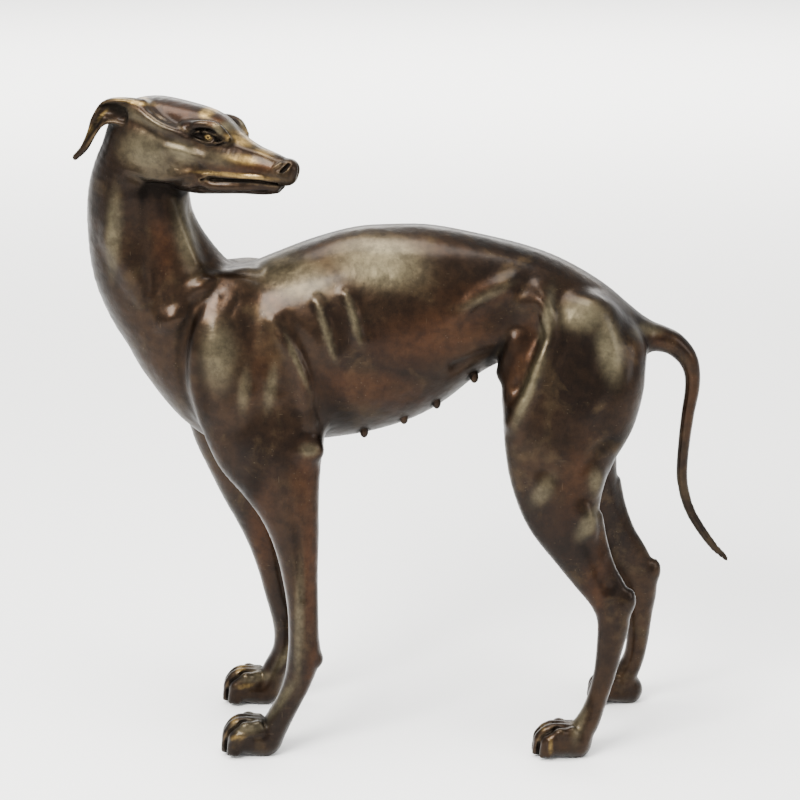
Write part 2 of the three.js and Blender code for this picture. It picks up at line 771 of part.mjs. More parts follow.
const body = mergeFacets(skin([
  planes(-480, [-130, 4.5], [200, 8], [520, 5.5]),
  planes(-142, [142, 5]),
  planes(-14, [62, 4.5], [850, 7.5], [1012, 4]),
]), FACETS);
let statue = solidFrom(body.points.map((point) => times(point, THOUSANDTH)), body.triangles);

// Teats in two rows along the belly, each let into the skin
const TEATS = [[-54, 499], [6, 522], [55, 547], [111, 584]];
for (const [x, z] of TEATS) {
  onBothSides((side) => {
    const knob = new THREE.SphereGeometry(TEAT_RADIUS, 10, 7);
    const place = new THREE.Matrix4().makeTranslation(...times([x, side * 36, z], THOUSANDTH));
    place.scale(new THREE.Vector3(1, 1, 1.4));
    statue = statue.add(solidOf(knob, place));
  });
}

// Flat soles on the floor
const floor = new THREE.BoxGeometry(2 * HEIGHT, HEIGHT, HEIGHT / 10);
statue = statue.subtract(solidOf(floor, new THREE.Matrix4().makeTranslation(0, 0, -HEIGHT / 20)));

const bronze = new THREE.MeshStandardMaterial({
  color: new THREE.Color().setRGB(0.09, 0.045, 0.025),
  roughness: 0.36,
  metalness: 0.85,
});
const greyhound = new THREE.Mesh(meshOf(statue), bronze);
greyhound.name = "greyhound";

// The origin lies under the middle of the whole figure, on the floor
const middle = new THREE.Box3().setFromObject(greyhound).getCenter(new THREE.Vector3());
greyhound.geometry.translate(-middle.x, -middle.y, 0);
greyhound.geometry.computeVertexNormals();

const group = new THREE.Group();
group.name = "greyhound_statue";
group.add(greyhound);
export default group;
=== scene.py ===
# %% [markdown]
# # A greyhound in cast bronze
# The real statue is one hollow casting. It was modelled in clay, cast by the lost wax way, chased
# with small tools, browned with chemicals and heat, and waxed. Hands have since rubbed some of the
# brown away on the muzzle, the brow and the toes.
# We build it in the same order: soft lumps first, then carving, then one skin, then the patina with
# its painted highlights and shade.
# The imported model is loaded first. It says where the statue stands, and we never move it.

# %% Load the frame
import math

import bpy
import numpy as np
import openvdb
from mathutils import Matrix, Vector


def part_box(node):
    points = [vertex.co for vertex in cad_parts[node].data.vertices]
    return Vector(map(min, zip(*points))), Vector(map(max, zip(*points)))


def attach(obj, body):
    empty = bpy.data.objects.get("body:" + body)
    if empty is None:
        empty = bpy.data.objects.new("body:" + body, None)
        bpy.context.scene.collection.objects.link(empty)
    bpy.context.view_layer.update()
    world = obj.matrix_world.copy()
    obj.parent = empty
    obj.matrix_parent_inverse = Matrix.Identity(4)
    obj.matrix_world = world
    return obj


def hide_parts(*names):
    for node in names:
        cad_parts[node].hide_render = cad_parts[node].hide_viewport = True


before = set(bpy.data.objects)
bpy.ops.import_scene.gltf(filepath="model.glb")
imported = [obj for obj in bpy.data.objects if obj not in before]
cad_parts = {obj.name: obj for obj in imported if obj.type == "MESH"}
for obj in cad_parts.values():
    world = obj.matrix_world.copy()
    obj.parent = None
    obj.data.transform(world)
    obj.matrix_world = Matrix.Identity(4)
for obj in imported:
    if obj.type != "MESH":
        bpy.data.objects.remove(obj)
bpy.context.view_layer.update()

# %% [markdown]
# ## Thinking in thousandths
# A sculptor measures a figure against itself: so many heads high, so many paws long. We write
# every place in thousandths of the statue's height, with x back along the dog, y across her and z
# up. Only at the end do we turn thousandths into metres.

# %% Measures
METRES_PER_THOUSANDTH = 0.0008
NEAR, FAR = -1, 1
SIDES = (NEAR, FAR)
FORWARD, ACROSS, UP = np.eye(3)


def unit(vector):
    """The same direction, one long."""
    vector = np.asarray(vector, float)
    return vector / np.linalg.norm(vector)


def sided(side, stations):
    """The same stations on her near or far side."""
    return [[x, side * y, *rest] for x, y, *rest in stations]


# %% [markdown]
# ## Clay as a field of distances
# Boxes and spheres joined with hard seams never look like flesh. Here each lump of clay is a
# small function that says how far a point is from its skin: negative inside, positive outside.
# Two lumps melt into each other when we take the smaller distance and round off the corner
# between them. The blend is the width over which they melt. A groove is a lump that is taken away
# in the same soft way.

# %% Melting two lumps
OUTSIDE = 60.0
volumes = []


def melt(a, b, blend):
    """The smaller of two distances, with the corner between them rounded off."""
    close = np.maximum(blend - np.abs(a - b), 0)
    return np.minimum(a, b) - close * close / (4 * blend)


def oval_distance(offsets, radii):
    """About how far points are from an oval, given their offsets along its three axes."""
    radius = np.sqrt(sum(offset**2 for offset in offsets))
    oval = np.sqrt(sum((offset / size) ** 2 for offset, size in zip(offsets, radii)))
    centre = -np.minimum.reduce(np.broadcast_arrays(*radii))
    return np.where(oval < 1e-9, centre, radius - radius / np.maximum(oval, 1e-9))


# %% [markdown]
# A limb is a chain of tapers. Each taper has an oval section that changes evenly from one station
# to the next. A station is a place, half a depth and half a width. Few stations are written
# down, and a smooth curve through them gives the ones between, as a bent wire armature would.

# %% Tapers
def taper(start, end, side, margin):
    """One straight piece of a limb: the corners of a box round it, and its distance function."""
    along = end[:3] - start[:3]
    length = np.linalg.norm(along)
    axis = along / length
    wide_axis = unit(side - axis * np.dot(side, axis))
    deep_axis = np.cross(wide_axis, axis)
    depth, width = np.maximum(start[3:], end[3:]) + margin
    reach = np.sqrt((deep_axis * depth) ** 2 + (wide_axis * width) ** 2
                    + (axis * min(depth, width)) ** 2)

    def distance(points):
        away = points - start[:3]
        station = away @ axis
        share = np.clip(station / length, 0, 1)
        deep = start[3] + (end[3] - start[3]) * share
        wide = start[4] + (end[4] - start[4]) * share
        over = station - share * length
        return oval_distance(
            (away @ deep_axis, away @ wide_axis, over), (deep, wide, np.minimum(deep, wide)))

    low = np.minimum(start[:3], end[:3]) - reach
    high = np.maximum(start[:3], end[:3]) + reach
    return low, high, distance


def through_stations(stations, parts):
    """A smooth curve through the stations, with this many parts between two of them."""
    stations = np.array(stations, float)
    padded = np.vstack([stations[:1], stations, stations[-1:]])
    t = (np.arange(parts) / parts)[:, None]
    path = []
    for a, b, c, d in zip(padded, padded[1:], padded[2:], padded[3:]):
        bend = 2 * a - 5 * b + 4 * c - d + t * (3 * (b - c) + d - a)
        path.extend(b + 0.5 * t * (c - a + t * bend))
    return path + [stations[-1]]


# %% Limbs and balls
BOX_MARGIN = 6
FEWEST_PARTS, MOST_PARTS = 2, 8


def add_volume(pieces, blend, cut, fine):
    low = np.min([piece[0] for piece in pieces], axis=0)
    high = np.max([piece[1] for piece in pieces], axis=0)
    volumes.append((low, high, pieces, blend, cut, fine))


def limb(stations, blend=10, side=ACROSS, cut=False, fine=False):
    """A limb through stations; with cut it is a groove, and fine marks work of the small tools."""
    sizes = np.array(stations, float)
    spacing = np.linalg.norm(np.diff(sizes[:, :3], axis=0), axis=1).mean()
    parts = np.ceil(spacing / (0.2 * sizes[:, 3:5].min() + 2))
    path = through_stations(stations, int(np.clip(parts, FEWEST_PARTS, MOST_PARTS)))
    pieces = [taper(a, b, side, blend + BOX_MARGIN) for a, b in zip(path, path[1:])]
    add_volume(pieces, blend, cut, fine)


def ball(centre, sizes, blend=10, along=FORWARD, side=ACROSS, cut=False, fine=False):
    """An oval ball: half its length along its axis, half its width along the side, half its depth."""
    centre = np.array(centre, float)
    axis = unit(along)
    wide_axis = unit(side - axis * np.dot(side, axis))
    axes = (axis, wide_axis, np.cross(axis, wide_axis))
    reach = max(sizes) + blend + BOX_MARGIN

    def distance(points):
        away = points - centre
        return oval_distance([away @ a for a in axes], sizes)

    add_volume([(centre - reach, centre + reach, distance)], blend, cut, fine)


def cord(points, thickness):
    """A round muscle or tendon, of one thickness or of one at each point."""
    radii = np.broadcast_to(thickness, len(points))
    return [[*point, radius, radius] for point, radius in zip(points, radii)]


# %% [markdown]
# ## Trunk and neck
# A greyhound is a deep chest hung from a long arched loin. Thirteen oval stations give the trunk.
# The neck is a second limb that rises and leans to her near side, because she looks back.

# %% Trunk, neck and breast
limb([
    [-296, 0, 632, 100, 64],
    [-248, 0, 613, 127, 82],
    [-200, 0, 609, 139, 91],
    [-140, 0, 624, 148, 96],
    [-80, 0, 640, 154, 97],
    [-20, 0, 658, 151, 95],
    [40, 0, 678, 132, 88],
    [95, 0, 688.5, 109.5, 78],
    [150, 0, 691.5, 91.5, 71],
    [205, 0, 679, 84, 72],
    [260, 0, 655, 77, 70],
    [305, 0, 637, 62, 56],
    [335, 0, 630, 44, 40],
], blend=26)
limb([
    [-262, 0, 632, 100, 76],
    [-322, 0, 676, 100, 70],
    [-365, -2, 742, 92, 64],
    [-383, -6, 808, 80, 60],
    [-384, -12, 865, 73, 57],
    [-378, -20, 910, 60, 54],
    [-362, -27, 940, 52, 50],
], blend=26)
limb([
    [-337, 0, 614, 53, 50],
    [-295, 0, 549, 48, 52],
    [-250, 0, 508, 40, 44],
    [-190, 0, 492, 28, 34],
], blend=30)
print("trunk, neck and breast:", len(volumes), "limbs")

# %% [markdown]
# ## Legs
# Each leg is one limb from the shoulder or hip down to the foot. The two sides stand differently,
# so each leg has an outline of its own, read off the photograph from the top down. How far out it
# stands and how wide it is at each station is the same on both sides, and is written once.

# %% Legs
FORELEG_OUT_AND_WIDTH = [
    (56, 34), (64, 36), (72, 35), (78, 32), (82, 29),
    (85, 25), (87, 21.5), (88, 19.5), (90, 19.5), (91, 21),
    (93, 18.5), (95, 18), (97, 20), (98, 22),
]
HIND_LEG_OUT_AND_WIDTH = [
    (40, 38), (54, 46), (64, 44), (74, 38), (80, 32),
    (85, 27), (88, 22.5), (90, 19), (92, 17), (93, 17),
    (95, 15.5), (97, 14.5), (99, 15.5), (101, 18), (103, 20),
]


def leg(out_and_width, outline):
    """A leg's stations: its outline gives x, height and half depth, as the photograph shows them."""
    return [[x, out, z, deep, wide] for (x, z, deep), (out, wide) in zip(outline, out_and_width)]


NEAR_FORELEG = leg(FORELEG_OUT_AND_WIDTH, [
    (-225, 600, 84), (-206, 535, 92), (-194, 485, 84), (-180, 440, 64), (-167, 395, 47),
    (-157, 345, 35.5), (-151, 290, 27.5), (-147, 235, 23.5), (-146, 190, 23), (-146, 157, 25),
    (-156, 118, 21), (-169, 88, 19), (-186, 56, 20), (-202, 26, 22),
])
FAR_FORELEG = leg(FORELEG_OUT_AND_WIDTH, [
    (-245, 600, 84), (-248, 535, 90), (-249, 475, 76), (-244, 425, 61), (-235, 375, 48),
    (-223, 332, 39), (-211, 286, 31), (-200, 237, 26), (-192, 195, 24), (-181, 155, 25),
    (-181, 120, 21), (-188, 90, 18.5), (-203, 56, 20), (-214, 26, 22),
])
NEAR_HIND_LEG = leg(HIND_LEG_OUT_AND_WIDTH, [
    (262, 662, 74), (256, 600, 100), (249, 545, 99), (238, 490, 84), (236, 435, 71),
    (243, 385, 57), (264, 335, 42), (288, 290, 32), (312, 252, 27), (323, 218, 25),
    (318, 170, 20), (310, 125, 16.5), (299, 85, 15.5), (287, 54, 18), (272, 32, 20),
])
FAR_HIND_LEG = leg(HIND_LEG_OUT_AND_WIDTH, [
    (264, 662, 74), (266, 600, 96), (270, 545, 90), (270, 490, 80), (275, 435, 66),
    (289, 380, 54), (312, 328, 42), (338, 283, 36), (363, 245, 34), (381, 205, 29),
    (382, 160, 23), (382, 115, 18), (377, 80, 17), (366, 52, 19), (354, 32, 20),
])
for near, far in ((NEAR_FORELEG, FAR_FORELEG), (NEAR_HIND_LEG, FAR_HIND_LEG)):
    limb(sided(NEAR, near), blend=24)
    limb(sided(FAR, far), blend=24)

# %% [markdown]
# ## Muscles that ride on the legs
# Under short hair every muscle shows. A muscle is placed by its height on the leg, by how far it
# lies behind the leg's middle line and by how far out from it. So it moves with the leg if the
# stance is changed.

# %% Leg muscles and tendons
def beside(path, height, back, out):
    """A point on the leg at that height, behind its line and out from it."""
    below = next(n for n, station in enumerate(path) if station[2] <= height)
    a, b = path[below - 1], path[below]
    share = (a[2] - height) / (a[2] - b[2])
    return [a[0] + (b[0] - a[0]) * share + back, a[1] + (b[1] - a[1]) * share + out, height]


def leg_muscles(side, fore, hind, hock):
    """The muscles, grooves and tendons of both legs on one side, and the point of the hock."""
    def on_fore(height, back, out):
        return beside(sided(side, fore), height, back, side * out)

    def on_hind(height, back, out):
        return beside(sided(side, hind), height, back, side * out)

    def bump(centre, sizes, slope=0.0):
        ball(centre, sizes, blend=12, along=(slope, 0, -1))

    bump(on_fore(572, -1, 22), (32, 14, 15), -0.1)
    bump(on_fore(576, 34, 22), (28, 12, 12), 0.1)
    limb(cord([on_fore(590, 84, 30), on_fore(560, 78, 26), on_fore(525, 70, 22)], 9), blend=12)
    ball(on_fore(484, 60, 20), (18, 14, 21), blend=14, along=UP)
    shin_groove = [on_fore(410, 8, 33), on_fore(335, 4, 26), on_fore(255, 2, 21)]
    limb(cord(shin_groove, (1, 3.5, 3)), blend=9, cut=True)
    ball(on_fore(152, 23, 0), (10, 9, 7), blend=8, along=UP)
    buttock = [on_hind(620, 71, -4), on_hind(575, 67, 0), on_hind(525, 64, -2), on_hind(470, 52, 2)]
    limb(cord(buttock, (36, 38, 34, 20)), blend=24)
    outer_thigh = [
        on_hind(660, 38, 18), on_hind(625, 46, 26), on_hind(560, 32, 28), on_hind(500, 30, 18)]
    limb(cord(outer_thigh, 16), blend=16)
    behind_knee = [
        on_hind(494, 84, 28), on_hind(500, 66, 34), on_hind(484, 46, 37), on_hind(458, 36, 36)]
    limb(cord(behind_knee, 4), blend=10, cut=True)
    thigh_edge = sided(side, [[200, 56, 716], [214, 68, 697]]) + [
        on_hind(655, -40, 34), on_hind(618, -51, 34), on_hind(578, -62, 28), on_hind(526, -76, 17)]
    limb(cord(thigh_edge, 13), blend=12)
    before_thigh = [on_hind(658, -62, 46), on_hind(618, -74, 44), on_hind(580, -82, 34)]
    limb(cord(before_thigh, 8), blend=16, cut=True)
    bump(on_hind(425, -20, 20), (30, 13, 18), 0.4)
    bump(on_hind(440, 52, 16), (26, 12, 14), -0.1)
    bump(on_hind(378, 30, 16), (34, 12, 17), 0.3)
    tendon = [on_hind(380, 50, 5), on_hind(340, 41, 3), on_hind(300, 33, 2), on_hind(272, 31, 1), hock]
    limb(cord(tendon, 8.5), blend=6)
    before_tendon = [on_hind(345, 20, 25), on_hind(305, 15, 22), on_hind(272, 12, 19)]
    limb(cord(before_tendon, 6), blend=9, cut=True)
    ball(hock, (22, 10, 12), along=(-0.25, 0, -1))


leg_muscles(NEAR, NEAR_FORELEG, NEAR_HIND_LEG, [343, -93, 244])
leg_muscles(FAR, FAR_FORELEG, FAR_HIND_LEG, [402, 93, 226])

# %% [markdown]
# ## Muscles of the body
# The same muscles lie on both sides of the trunk: the shoulder blade, the two ridges and the
# valley of the neck, the ribs behind the shoulder, the flank with its hollow and fold, and the
# haunch. One function makes a side, so both sides agree.

# %% Body muscles
def body_muscles(side):
    """The muscles of one side, from the shoulder blade over neck and ribs to the haunch."""

    def raised(points, thickness, blend):
        limb(cord(sided(side, points), thickness), blend=blend)

    def groove(points, thickness, blend):
        limb(cord(sided(side, points), thickness), blend=blend, cut=True)

    def mass(centre, sizes, along, blend):
        ball([centre[0], side * centre[1], centre[2]], sizes, blend=blend, along=along)

    limb(sided(side, [
        [-236, 42, 720, 34, 20],
        [-262, 56, 662, 46, 28],
        [-266, 60, 605, 50, 28],
        [-252, 64, 552, 46, 28],
    ]), blend=26)
    before_shoulder = [
        [-256, 66, 758], [-297, 74, 702], [-319, 78, 640], [-322, 74, 578], [-310, 66, 528]]
    groove(before_shoulder, (7, 7, 7, 5.5, 2), 14)
    mass([-270, 78, 624], (44, 14, 26), UP, 14)
    mass([-226, 34, 728], (18, 14, 24), UP, 16)
    raised([[-186, 76, 676], [-160, 86, 638], [-144, 90, 604], [-136, 88, 566]], 9, 12)
    groove([[-164, 98, 682], [-138, 104, 640], [-122, 105, 600], [-116, 100, 556]], 9, 14)
    limb(sided(side, [
        [-404, 40, 868, 18, 15],
        [-407, 45, 800, 22, 17],
        [-389, 51, 745, 21, 16],
        [-372, 57, 712, 14, 13],
    ]), blend=16)
    neck_valley = [[-361, 68, 866], [-357, 71, 800], [-357, 74, 745], [-360, 78, 706]]
    groove(neck_valley, (6, 10, 11, 9), 20)
    raised([[-334, 38, 838], [-319, 42, 794], [-305, 48, 757]], 12, 16)
    mass([-294, 51, 724], (24, 15, 12), (0.8, 0, 0.6), 16)
    mass([-335, 62, 678], (24, 13, 13), (0.75, 0, 0.65), 14)
    raised([[-122, 78, 708], [-107, 87, 676], [-97, 92, 628]], 8, 9)
    raised([[-79, 80, 718], [-67, 87, 692], [-58, 93, 650]], 7, 9)
    raised([[86, 71, 686], [110, 69, 708], [139, 61, 721], [164, 53, 728]], 10, 16)
    ball([146, side * 90, 674], (44, 18, 36), blend=26, cut=True)
    mass([188, 58, 702], (15, 14, 17), FORWARD, 12)
    raised([[172, 62, 646], [160, 57, 612], [154, 50, 592]], 10, 16)
    groove([[84, 68, 606], [112, 66, 614], [138, 64, 622]], 5, 12)
    mass([276, 55, 668], (44, 28, 42), (1, 0, 0.2), 22)


for side in SIDES:
    body_muscles(side)
print("body with its muscles:", len(volumes), "volumes")

# %% [markdown]
# ## Paws and tail
# A hare foot: a pad under four arched toes, the outer pair set back. Each toe is a short limb
# that bends down over its knuckle. A paw is given by the x of its toes and of its heel, its y, and
# the height of its knuckles. The tail is one long limb that thins to its tip.

# %% Paws
TOES = (-1.5, -0.5, 0.5, 1.5)
PAWS = [(-273, -192, -98, 62), (-286, -204, 102, 60), (203, 288, -104, 54), (305, 388, 106, 52)]


def toe_set_back(place):
    """The outer toes lie a share of the paw's length behind the middle ones."""
    return 0.12 if abs(place) > 1 else 0


def along_paw(tip, heel):
    """A function that gives x at a share of the way from the toes to the heel."""
    return lambda share: tip + (heel - tip) * share


def paw(tip, heel, y, knuckle):
    at = along_paw(tip, heel)
    limb([
        [at(0.8), y, 20, 24, 22],
        [at(0.55), y, knuckle * 0.42, knuckle * 0.42, 28],
        [at(0.32), y, 22, 20, 27],
    ])
    for place in TOES:
        back = toe_set_back(place)
        low = 6 if back else 0
        across = y + place * 13
        limb([
            [at(0.72), y + place * 9, knuckle - 16, 14, 8.5],
            [at(0.34 + back), across, knuckle - 14 - low, 14, 9],
            [at(0.17 + back), across, knuckle * 0.52 - low / 2, 13, 9],
            [at(0.14 + back), across, 12, 10, 8.5],
        ], blend=4)


for tip, heel, y, knuckle in PAWS:
    paw(tip, heel, y, knuckle)

# %% Tail
limb([
    [330, 0, 645, 34, 30],
    [370, 0, 637, 24, 22],
    [393, 0, 632, 20, 19],
    [411, 0, 625, 18, 17],
    [427, 0, 611, 16, 15],
    [437, 0, 595, 14, 13.5],
    [442, 0, 575, 12, 12],
    [442, 0, 550, 11, 11],
    [437, 0, 515, 10, 10],
    [433, 0, 470, 9, 9],
    [431, 0, 425, 8.5, 8.5],
    [435, 0, 393, 8, 8],
    [446, 0, 360, 7.5, 7.5],
    [465, 0, 328, 7, 7],
    [487, 0, 299, 6, 6],
    [505, 0, 282, 4.5, 4.5],
], blend=14)

# %% [markdown]
# ## Head
# The head has a frame of its own, so that it can be turned and dropped as one: forward along the
# muzzle, leftward, and upward. The skull is a limb, the muzzle and the jaw are two more, and the
# brows, eyes, cheeks and lips are laid on top.

# %% Head frame
HEAD_TURN, HEAD_DROP = math.radians(25), math.radians(8)
SKULL = np.array([-345.0, -30.0, 945.0])
MUZZLEWARD = np.array([
    math.cos(HEAD_TURN) * math.cos(HEAD_DROP),
    -math.sin(HEAD_TURN) * math.cos(HEAD_DROP),
    -math.sin(HEAD_DROP),
])
LEFTWARD = np.array([math.sin(HEAD_TURN), math.cos(HEAD_TURN), 0])
CROWNWARD = np.cross(MUZZLEWARD, LEFTWARD)
HEAD_AXES = np.array([MUZZLEWARD, LEFTWARD, CROWNWARD])


def head_limb(stations, **options):
    """A limb whose stations are given in the head's own frame."""
    turned = [[*(SKULL + np.array(s[:3]) @ HEAD_AXES), *s[3:]] for s in stations]
    limb(turned, side=LEFTWARD, **options)


def head_ball(centre, sizes, along=(1, 0, 0), **options):
    ball(SKULL + np.array(centre) @ HEAD_AXES, sizes, side=LEFTWARD,
         along=np.array(along) @ HEAD_AXES, **options)


# %% Skull, muzzle and jaw
head_limb([
    [-40, 0, 2, 40, 42],
    [0, 0, 4, 51, 49],
    [40, 0, 4, 52, 50],
    [78, 0, 2, 50, 44],
    [104, 0, -4, 39, 37],
    [130, 0, -12, 31, 31],
], blend=24)
head_limb([
    [95, 0, -14, 38, 37],
    [130, 0, -13, 33, 30],
    [160, 0, -13, 28, 25],
    [190, 0, -13, 23, 21],
    [206, 0, -13, 19, 18],
], blend=12)
head_ball([209, 0, -6], (16, 14, 12), blend=5)
head_limb([
    [30, 0, -46, 28, 36],
    [70, 0, -56, 16, 32],
    [100, 0, -56, 10, 27],
    [140, 0, -50, 7.5, 19],
    [176, 0, -44.5, 7, 14],
    [194, 0, -40, 6, 11],
], blend=8)


# %% Cheeks, brows, eyes and lips
def face(side):
    def on_head(stations, **options):
        head_limb(sided(side, stations), **options)

    head_ball([26, side * 38, -20], (50, 17, 38), blend=16)
    temple = [[-28, 44, 38, 8, 8], [8, 50, 30, 7, 7], [42, 50, 20, 7, 7], [66, 45, 16, 6, 6]]
    on_head(temple, blend=12)
    head_ball([32, side * 58, 46], (34, 12, 12), blend=14, cut=True)
    brow = [[60, 40, 30, 6, 6], [82, 40, 36, 6, 6], [104, 36, 34, 5.5, 5.5], [120, 28, 22, 5, 5]]
    on_head(brow)
    head_ball([98, side * 45, 27], (18, 6, 6), blend=7, cut=True, fine=True)
    head_ball([95, side * 34, 18], (14, 11, 10), blend=3)
    on_head([[38, 50, -4, 5, 5], [68, 46, -8, 5, 5], [94, 38, -12, 4, 4]], blend=12)
    lip = [[86, 31, -40, 4, 4], [130, 26, -33, 4, 4], [172, 20, -29, 4, 4], [198, 13, -26, 4, 4]]
    on_head(lip, blend=6)
    between_lips = [
        [92, 36, -42, 1.8, 5], [125, 30, -37, 2, 5], [165, 24, -31, 2, 5], [200, 14, -28.5, 2, 5]]
    on_head(between_lips, blend=3, cut=True, fine=True)


for side in SIDES:
    face(side)

# %% Ears
head_limb([
    [-16, -36, 36, 18, 13],
    [-42, -42, 31, 21, 10],
    [-64, -47, 27, 18, 8],
    [-78, -51, 11, 10, 7],
    [-85, -54, -8, 6, 6],
    [-94, -57, -31, 5, 5],
    [-107, -60, -48, 4, 4],
], blend=8)
ear_hollow = [[-38, -54, 26, 13, 7], [-60, -57, 24, 11, 6], [-74, -60, 10, 5, 5]]
head_limb(ear_hollow, blend=4, cut=True, fine=True)
head_limb([
    [-16, 36, 24, 18, 13],
    [-38, 44, 8, 17, 10],
    [-56, 50, -8, 14, 8],
    [-70, 54, -28, 9, 7],
    [-80, 57, -46, 6, 6],
    [-90, 60, -64, 4, 4],
], blend=8)
print("all the big forms:", len(volumes), "volumes")

# %% [markdown]
# ## Teats
# She is a bitch, with four teats on each side of the belly. They are small oval balls that hang a
# little out of the skin. They need hardly any blend, because in the cast they stand out sharply.

# %% Teats
TEATS = [[-54, 499], [6, 520], [55, 544], [111, 584]]
TEAT_OUT = 36
for x, z in TEATS:
    for side in SIDES:
        ball([x, side * TEAT_OUT, z - 2], (9.5, 6.5, 6.5), blend=2, along=UP)


# %% [markdown]
# ## Carving the head
# Now the modeller takes up a small wire tool. The lids are two thin rims round an almond hollow.
# The eyeball sits deep in it, with a round iris that stands a little proud and a drilled pupil, so
# that the eye seems to look. Lips, nostrils and the rim of the ear are cut in the same way.

# %% Eyes
def carved(points, thickness, **options):
    """A thin ridge or groove on the head, made with a small tool."""
    head_limb(cord(points, thickness), fine=True, **options)


def carver(side):
    """A function that carves such a line on this side of the head."""
    return lambda points, thickness, **options: carved(sided(side, points), thickness, **options)


def eye(side):
    line = carver(side)
    head_ball([94, side * 46, 21.5], (20, 7.5, 6.5), blend=2.5, cut=True, fine=True)
    head_ball([95, side * 31, 22], (14, 10, 10.5), blend=1, fine=True)
    upper_lid = [[66, 43, 20], [80, 44, 26.5], [95, 42.5, 29], [108, 38.5, 27], [120, 33, 20]]
    lower_lid = [[66, 43, 20], [80, 43, 16], [95, 41.5, 14], [108, 38, 15], [120, 33, 20]]
    line(upper_lid, (1.2, 2.0, 2.2, 2.0, 1.3), blend=1.5)
    line(lower_lid, (1.3, 1.7, 1.9, 1.7, 1.3), blend=2)
    head_ball([96, side * 39.5, 22.5], (6, 2.6, 6), blend=0.5, fine=True)
    head_ball([97.5, side * 43, 21.5], (1.8, 3, 1.8), blend=0.5, cut=True, fine=True)
    if side == NEAR:
        brow_edge = [
            [76, 44, 38], [88, 42, 42], [100, 38, 43], [111, 35, 39], [119, 32, 32], [124, 31, 27]]
        line(brow_edge, (0.4, 0.8, 1.4, 2.0, 1.8, 1.0), blend=9)


for side in SIDES:
    eye(side)


# %% Mouth
def mouth(side):
    line = carver(side)
    head_ball([68, side * 37, -42], (24, 9, 15), blend=16, fine=True)
    upper_lip = [[85, 37, -42], [90, 36.5, -36.5], [100, 34.5, -32.5], [120, 31, -29.5],
                 [150, 26, -25.5], [178, 21, -22], [196, 15, -21.5], [207, 9, -23]]
    line(upper_lip, (1.3, 1.8, 2, 2, 2, 1.9, 1.9, 1.6), blend=4)
    lower_lip = [[86, 34, -46, 5, 3.6], [104, 31.5, -48.5, 6.8, 5], [125, 27.5, -46, 6.8, 5],
                 [155, 21.5, -40.5, 6.4, 4.6], [180, 15.5, -36.5, 5.6, 4.4], [198, 8, -34.5, 4.4, 3.8]]
    head_limb(sided(side, lower_lip), blend=6, fine=True)
    opening = [[91, 39, -41.5], [104, 37.5, -40], [125, 33.5, -37], [150, 28, -32.5],
               [175, 22, -29], [196, 15, -28.5], [208, 6, -29]]
    line(opening, (1.2, 1.5, 1.7, 1.7, 1.7, 1.6, 1.5), blend=1.2, cut=True)


for side in SIDES:
    mouth(side)

# %% [markdown]
# The nose leather is a small pad with a rim behind it. Each nostril is a short curved groove that
# runs from the front of the pad back and down its side, with a raised wing below it. A fine groove
# parts the two sides in front.

# %% Nose
head_ball([211, 0, -4], (11, 13.5, 11), blend=5, fine=True)
head_ball([212, 0, -13], (7, 10, 8), blend=6, fine=True)
NOSE_RIM = [[192, 19, -14], [196, 18.5, -5], [204, 15.5, 3]]
NOSTRIL = [[214, 11, 2], [211, 14.5, -4], [206, 17, -10]]
NOSE_WING = [[203, 18.5, -12], [210, 16.5, -14], [217, 12, -12]]
for side in SIDES:
    line = carver(side)
    line(NOSE_RIM, (1.2, 1.8, 1.6), blend=4)
    line(NOSTRIL, (2.2, 2.8, 1.8), blend=1.5, cut=True)
    line(NOSE_WING, (1.8, 2, 1.6), blend=4)
carved([[225, 0, 0], [223, 0, -13], [218, 0, -25]], 1.0, blend=2, cut=True)

# %% [markdown]
# The near ear is folded back like a rose: a thick outer rim, a deep hollow, and a thin tip that
# curls down against the neck.

# %% Near ear
outer_rim = [[-18, -44, 49], [-45, -48.5, 47], [-71, -52, 39], [-84.5, -55.5, 15],
             [-89, -57.5, -7], [-96.5, -60, -30], [-107.5, -61, -46]]
carved(outer_rim, (2.2, 3.2, 3.4, 3.2, 2.8, 2.4, 2), blend=3)
lower_rim = [[-17, -44, 23], [-39, -48.5, 15], [-57, -52, 14.5], [-71.5, -55.5, 7],
             [-81, -57.5, -9.5], [-91.5, -60, -32]]
carved(lower_rim, (1.8, 2.8, 3, 2.8, 2.4, 2), blend=3)
head_ball([-56, -59, 30], (25, 14, 12.5), blend=3, along=(1, 0, 0.15), cut=True, fine=True)
ear_fold = [[-64, -60, 25], [-76, -61.5, 10], [-84, -63, -8], [-92, -65, -28]]
carved(ear_fold, (8, 6, 4, 2.6), blend=3, cut=True)

# %% [markdown]
# ## Claws and toes
# Each toe gets a small ball for its knuckle and one for its end, and a blunt claw that comes out
# under that end. A web of skin fills the gap between two toes, and a narrow cut down its middle
# parts them. Balls and short limbs are enough, because the paws are small in the whole figure.

# %% Claws, webs and the cuts between the toes
TOE_GAPS = (-1, 0, 1)


